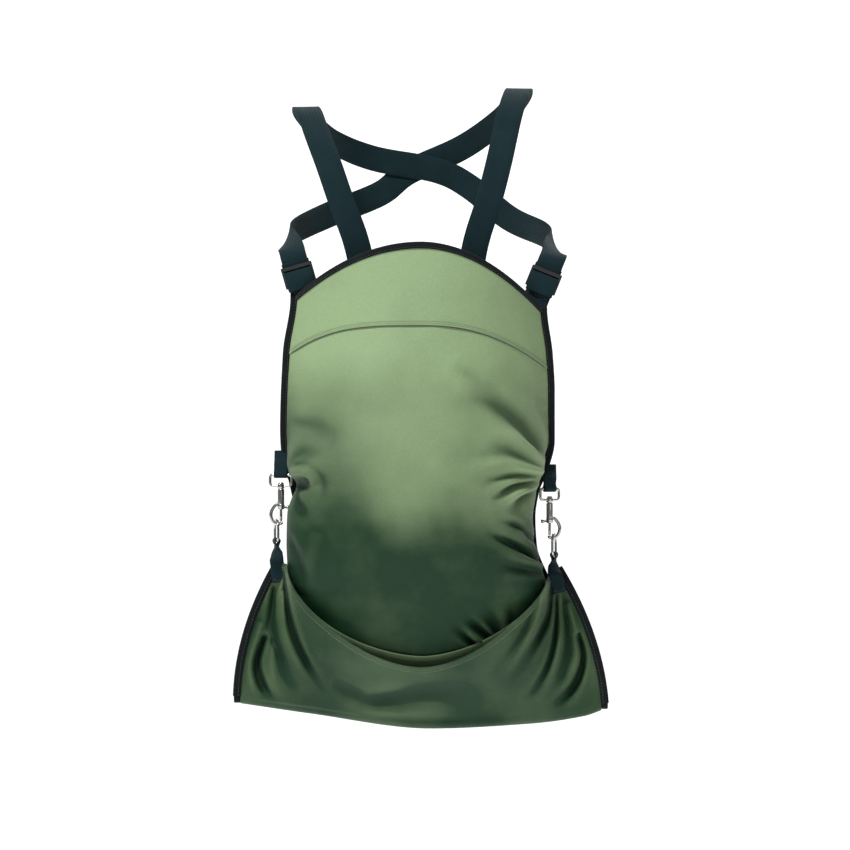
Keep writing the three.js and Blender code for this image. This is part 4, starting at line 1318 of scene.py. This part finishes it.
def make_hook(name, side):
    """The snap's body: a slotted barrel whose wire bows out and curls under the bolt."""
    nickel_plate = MATERIALS["nickel"]
    shell = [(2.5, -25.5), (2.5, -50), (3.6, -50), (4.6, -49.4), (4.8, -48.4), (4.8, -22),
             (4.5, -20.9), (3.8, -20.3), (2.5, -20.3), (2.5, -24), (ON_AXIS, -24), (ON_AXIS, -25.5)]
    barrel = turned(f"hook_{name}", shell, nickel_plate, sides=32)
    ring = [(4.6, -42.4), (5.3, -43), (5.4, -45), (5.3, -47), (4.6, -47.6), (4.6, -42.4)]
    collar = turned(f"collar_{name}", ring, nickel_plate, sides=32)
    bend = smooth_line([(4.6, 0, -41), (9.5, 0, -45.5), (13.8, 0, -53), (14.2, 0, -61),
                        (10.6, 0, -68.4), (4.5, 0, -71.2), (0, 0, -70.2)], 8)
    share = np.linspace(0, 1, len(bend))
    radius = 2.5 - 0.5 * ease(share, 0.15, 0.0) - 0.35 * ease(share, 0.9, 1.0)
    wire = tube(f"bow_{name}", bend, radius, nickel_plate)
    seat = [(ON_AXIS, -72.4), (1.7, -72.2), (2.5, -71.2), (2.9, -69.4), (2.9, -68.2), (2.2, -67.9),
            (1.9, -69.2), (ON_AXIS, -69.6)]
    cup = turned(f"cup_{name}", seat, nickel_plate)
    hook = joined(f"hook_{name}", [barrel, collar, wire, cup])
    piece = spin_piece(hook, hook_turn(side), snap_place(side))
    place_piece(piece, f"hook_{name}", "nickel", f"snap_hook_{name}")


def hook_turn(side):
    """Both bows stand outwards, so the left hook is turned round."""
    return 180 if side["sign"] < 0 else 0


def make_bolt(name, side):
    """The spring bolt that closes the hook, with its thumb knob on a stem."""
    nickel_plate = MATERIALS["nickel"]
    stem_foot = (0, 0, -47)
    rod = [(ON_AXIS, -67.4), (1.5, -67.2), (2, -66.5), (2, -44), (ON_AXIS, -44)]
    bolt = turned(f"bolt_{name}", rod, nickel_plate)
    pin = [(ON_AXIS, -8.5), (1.4, -8.5), (1.4, 0), (ON_AXIS, 0)]
    stem = turned(f"stem_{name}", pin, nickel_plate, stem_foot, axis="x")
    button = [(ON_AXIS, -12.8), (1.9, -12.4), (2.9, -11.2), (3.1, -9.8), (2.8, -8.4), (1.6, -7.6),
              (ON_AXIS, -7.4)]
    knob = turned(f"knob_{name}", button, nickel_plate, stem_foot, axis="x")
    piece = spin_piece(joined(f"bolt_{name}", [bolt, stem, knob]), hook_turn(side), snap_place(side))
    place_piece(piece, f"bolt_{name}", "nickel", f"snap_bolt_{name}")


SPRING_TURNS = 7
SPRING_LOW, SPRING_HIGH = -43.2, -26.3  # between the bolt's top and the end of the barrel's bore


def make_spring(name, side):
    """The spring over the bolt, from the bolt's top up into the barrel's bore, riding on the hook."""
    place = snap_place(side)
    turns = np.linspace(0, 2 * np.pi * SPRING_TURNS, SPRING_TURNS * 16)
    height = np.linspace(SPRING_LOW, SPRING_HIGH, len(turns))
    coil = np.stack([1.7 * np.cos(turns), 1.7 * np.sin(turns), height], -1) + np.array(place)
    piece = tube(f"spring_{name}", coil, 0.4, MATERIALS["steel"], sides=8)
    place_piece(piece, f"hook_{name}", "spring_steel", f"snap_spring_{name}")
    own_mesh(piece)


def ring_place(side):
    x, z = side["snap"]
    return x + side["sign"] * THROAT, SNAP_Y, z - RING_DROP - RING_HEIGHT


def make_ring(name, side):
    half, corner, straight = RING_HALF, 4.0, RING_HEIGHT - RING_HALF
    bends = [arc((half - corner, corner), corner, -90, 0, 6), arc((0, straight), half, 0, 180, 26),
             arc((-half + corner, corner), corner, 180, 270, 6)]
    line = closed_evenly(bends, 1.3)
    piece = tube(f"ring_{name}", line, 1.8, MATERIALS["nickel"], closed=True)
    spin_piece(piece, side["sign"] * RING_YAW, ring_place(side))
    place_piece(piece, f"ring_{name}", "nickel", f"d_ring_{name}")


def make_snap_loop(name, side):
    """The snap's loop of webbing, sewn into the side seam."""
    x, z = side["snap"]
    yaw = math.radians(side["eye_yaw"])
    lean = [(x, SNAP_Y + (LOCK_Y - SNAP_Y) * forth, z + SEWN_RISE * up)
            for forth, up in ((0.15, 0.44), (0.6, 0.68), (1, 1))]
    stations = folded_tab_stations((x, SNAP_Y, z), yaw, 1, lean, WIRE_LOOP)
    piece = web_between(f"loop_web_{name}", stations, SMALL_WEB, 6)
    place_piece(piece, "bag", "webbing", f"snap_loop_{name}")


def make_ring_tab(name, side):
    """The D-ring's tab, sewn to the chute's corner."""
    bar = ring_place(side)
    sewn_y = -SEAT_DEPTH - 2 * LAYER_STEP - 9.6
    foot_x, foot_z = side["tab_foot"]
    clear = 5  # while it still turns, the tab stands this far off the chute's corner
    route = [(bar[0], bar[1] + 0.4 * (sewn_y - bar[1]), bar[2] - 17),
             (bar[0] + 0.1 * (foot_x - bar[0]), sewn_y - clear, bar[2] - 27),
             (bar[0] + 0.4 * (foot_x - bar[0]), sewn_y - clear / 3, bar[2] - 38),
             (foot_x, sewn_y, foot_z)]
    stations = folded_tab_stations(bar, math.radians(side["sign"] * RING_YAW), -1, route, WIRE_LOOP)
    piece = web_between(f"ring_web_{name}", stations, SMALL_WEB, 6)
    place_piece(piece, "chute", "webbing", f"d_ring_tab_{name}")
    down = unit(np.array([foot_x - route[2][0], 0, foot_z - route[2][2]]))
    across = np.array([-down[2], 0, down[0]])
    middle = np.array([foot_x, sewn_y - ON_WEB, foot_z]) - down * 13
    patch = [middle + across * a + down * b for a, b in ((-7, -9), (7, -9), (7, 10), (-7, 10))]
    stitches(f"ring_stitches_{name}", box_stitch(patch), MATERIALS["black_thread"], "chute", "webbing")


# ---- Studio ----

# In metres, as Blender has them.
VIEW_X, VIEW_Z = 0.006, -0.477  # the middle of the view
VIEW_WIDTH, VIEW_DISTANCE = 1.2325, 6.0
SENSOR = 36.0  # millimetres


def make_camera():
    """A long lens straight from the front."""
    camera_data = bpy.data.cameras.new("camera")
    camera_data.sensor_width = SENSOR
    camera_data.lens = SENSOR * VIEW_DISTANCE / VIEW_WIDTH
    camera = bpy.data.objects.new("camera", camera_data)
    camera.location = (VIEW_X, -VIEW_DISTANCE, VIEW_Z)
    camera.rotation_euler = (math.radians(90), 0, 0)
    bpy.context.scene.collection.objects.link(camera)
    bpy.context.scene.camera = camera


def make_floor():
    """A pale floor that curves up into a backdrop, both glowing a little."""
    pale = bpy.data.materials.new("pale_floor")
    pale.use_nodes = True
    looks = {"Base Color": (0.92, 0.92, 0.91, 1), "Roughness": 0.9,
             "Emission Color": (1, 1, 1, 1), "Emission Strength": 0.62}
    for key, value in looks.items():
        pale.node_tree.nodes["Principled BSDF"].inputs[key].default_value = value
    floor_z, reach, half_width, bend, bend_steps = cad_low.z - 0.7, 9.0, 12.0, 2.0, 8
    profile = [(-reach, floor_z), (reach - bend, floor_z)]
    for step in range(1, bend_steps + 1):
        turn = math.radians(90 * step / bend_steps)
        profile.append((reach - bend + bend * math.sin(turn), floor_z + bend * (1 - math.cos(turn))))
    profile.append((reach, reach))
    points = [(x, y, z) for y, z in profile for x in (-half_width, half_width)]
    floor = new_piece("floor", np.array(points) / MM, grid_faces(len(profile), 2), pale)


def softbox(name, place, aim, size, power):
    data = bpy.data.lights.new(name, "AREA")
    data.shape = "RECTANGLE"
    data.size, data.size_y = size
    data.energy = power
    light = bpy.data.objects.new(name, data)
    light.location = place
    light.rotation_euler = (Vector(aim) - Vector(place)).to_track_quat("-Z", "Y").to_euler()
    bpy.context.scene.collection.objects.link(light)


def make_lights():
    """A key light from above the left, a weak fill, a light behind and a dim sky."""
    middle = (0, -0.05, VIEW_Z)
    softbox("key", (-1.3, -1.7, 2.5), middle, (0.8, 0.6), 140)
    softbox("fill", (1.6, -3.2, 0.6), middle, (1.8, 1.8), 8)
    softbox("back", (0.6, 1.5, 1.8), (0, 0.2, -0.1), (1.4, 1.0), 40)
    world = bpy.data.worlds.new("studio")
    world.use_nodes = True
    world.node_tree.nodes["Background"].inputs["Color"].default_value = (0.95, 0.97, 1.0, 1)
    world.node_tree.nodes["Background"].inputs["Strength"].default_value = 0.22
    bpy.context.scene.world = world
    bpy.context.scene.view_settings.view_transform = "Standard"


# ---- Assembly ----

make_camera()
make_floor()
make_lights()
make_belly()
make_yoke()
make_long_sheet()
make_inner_chute()
make_fold_lining()
make_mouth_tapes()
make_hems()
make_strap("left", "right")
make_strap("right", "left")
for side_name, side_facts in SIDES.items():
    make_side_tapes(side_name, side_facts)
    make_corner(side_name, side_facts)
    make_eye(side_name, side_facts)
    make_hook(side_name, side_facts)
    make_bolt(side_name, side_facts)
    make_spring(side_name, side_facts)
    recoloured(f"snap_rivet_{side_name}", MATERIALS["nickel"]).data.shade_smooth()
    make_ring(side_name, side_facts)
    make_snap_loop(side_name, side_facts)
    make_ring_tab(side_name, side_facts)
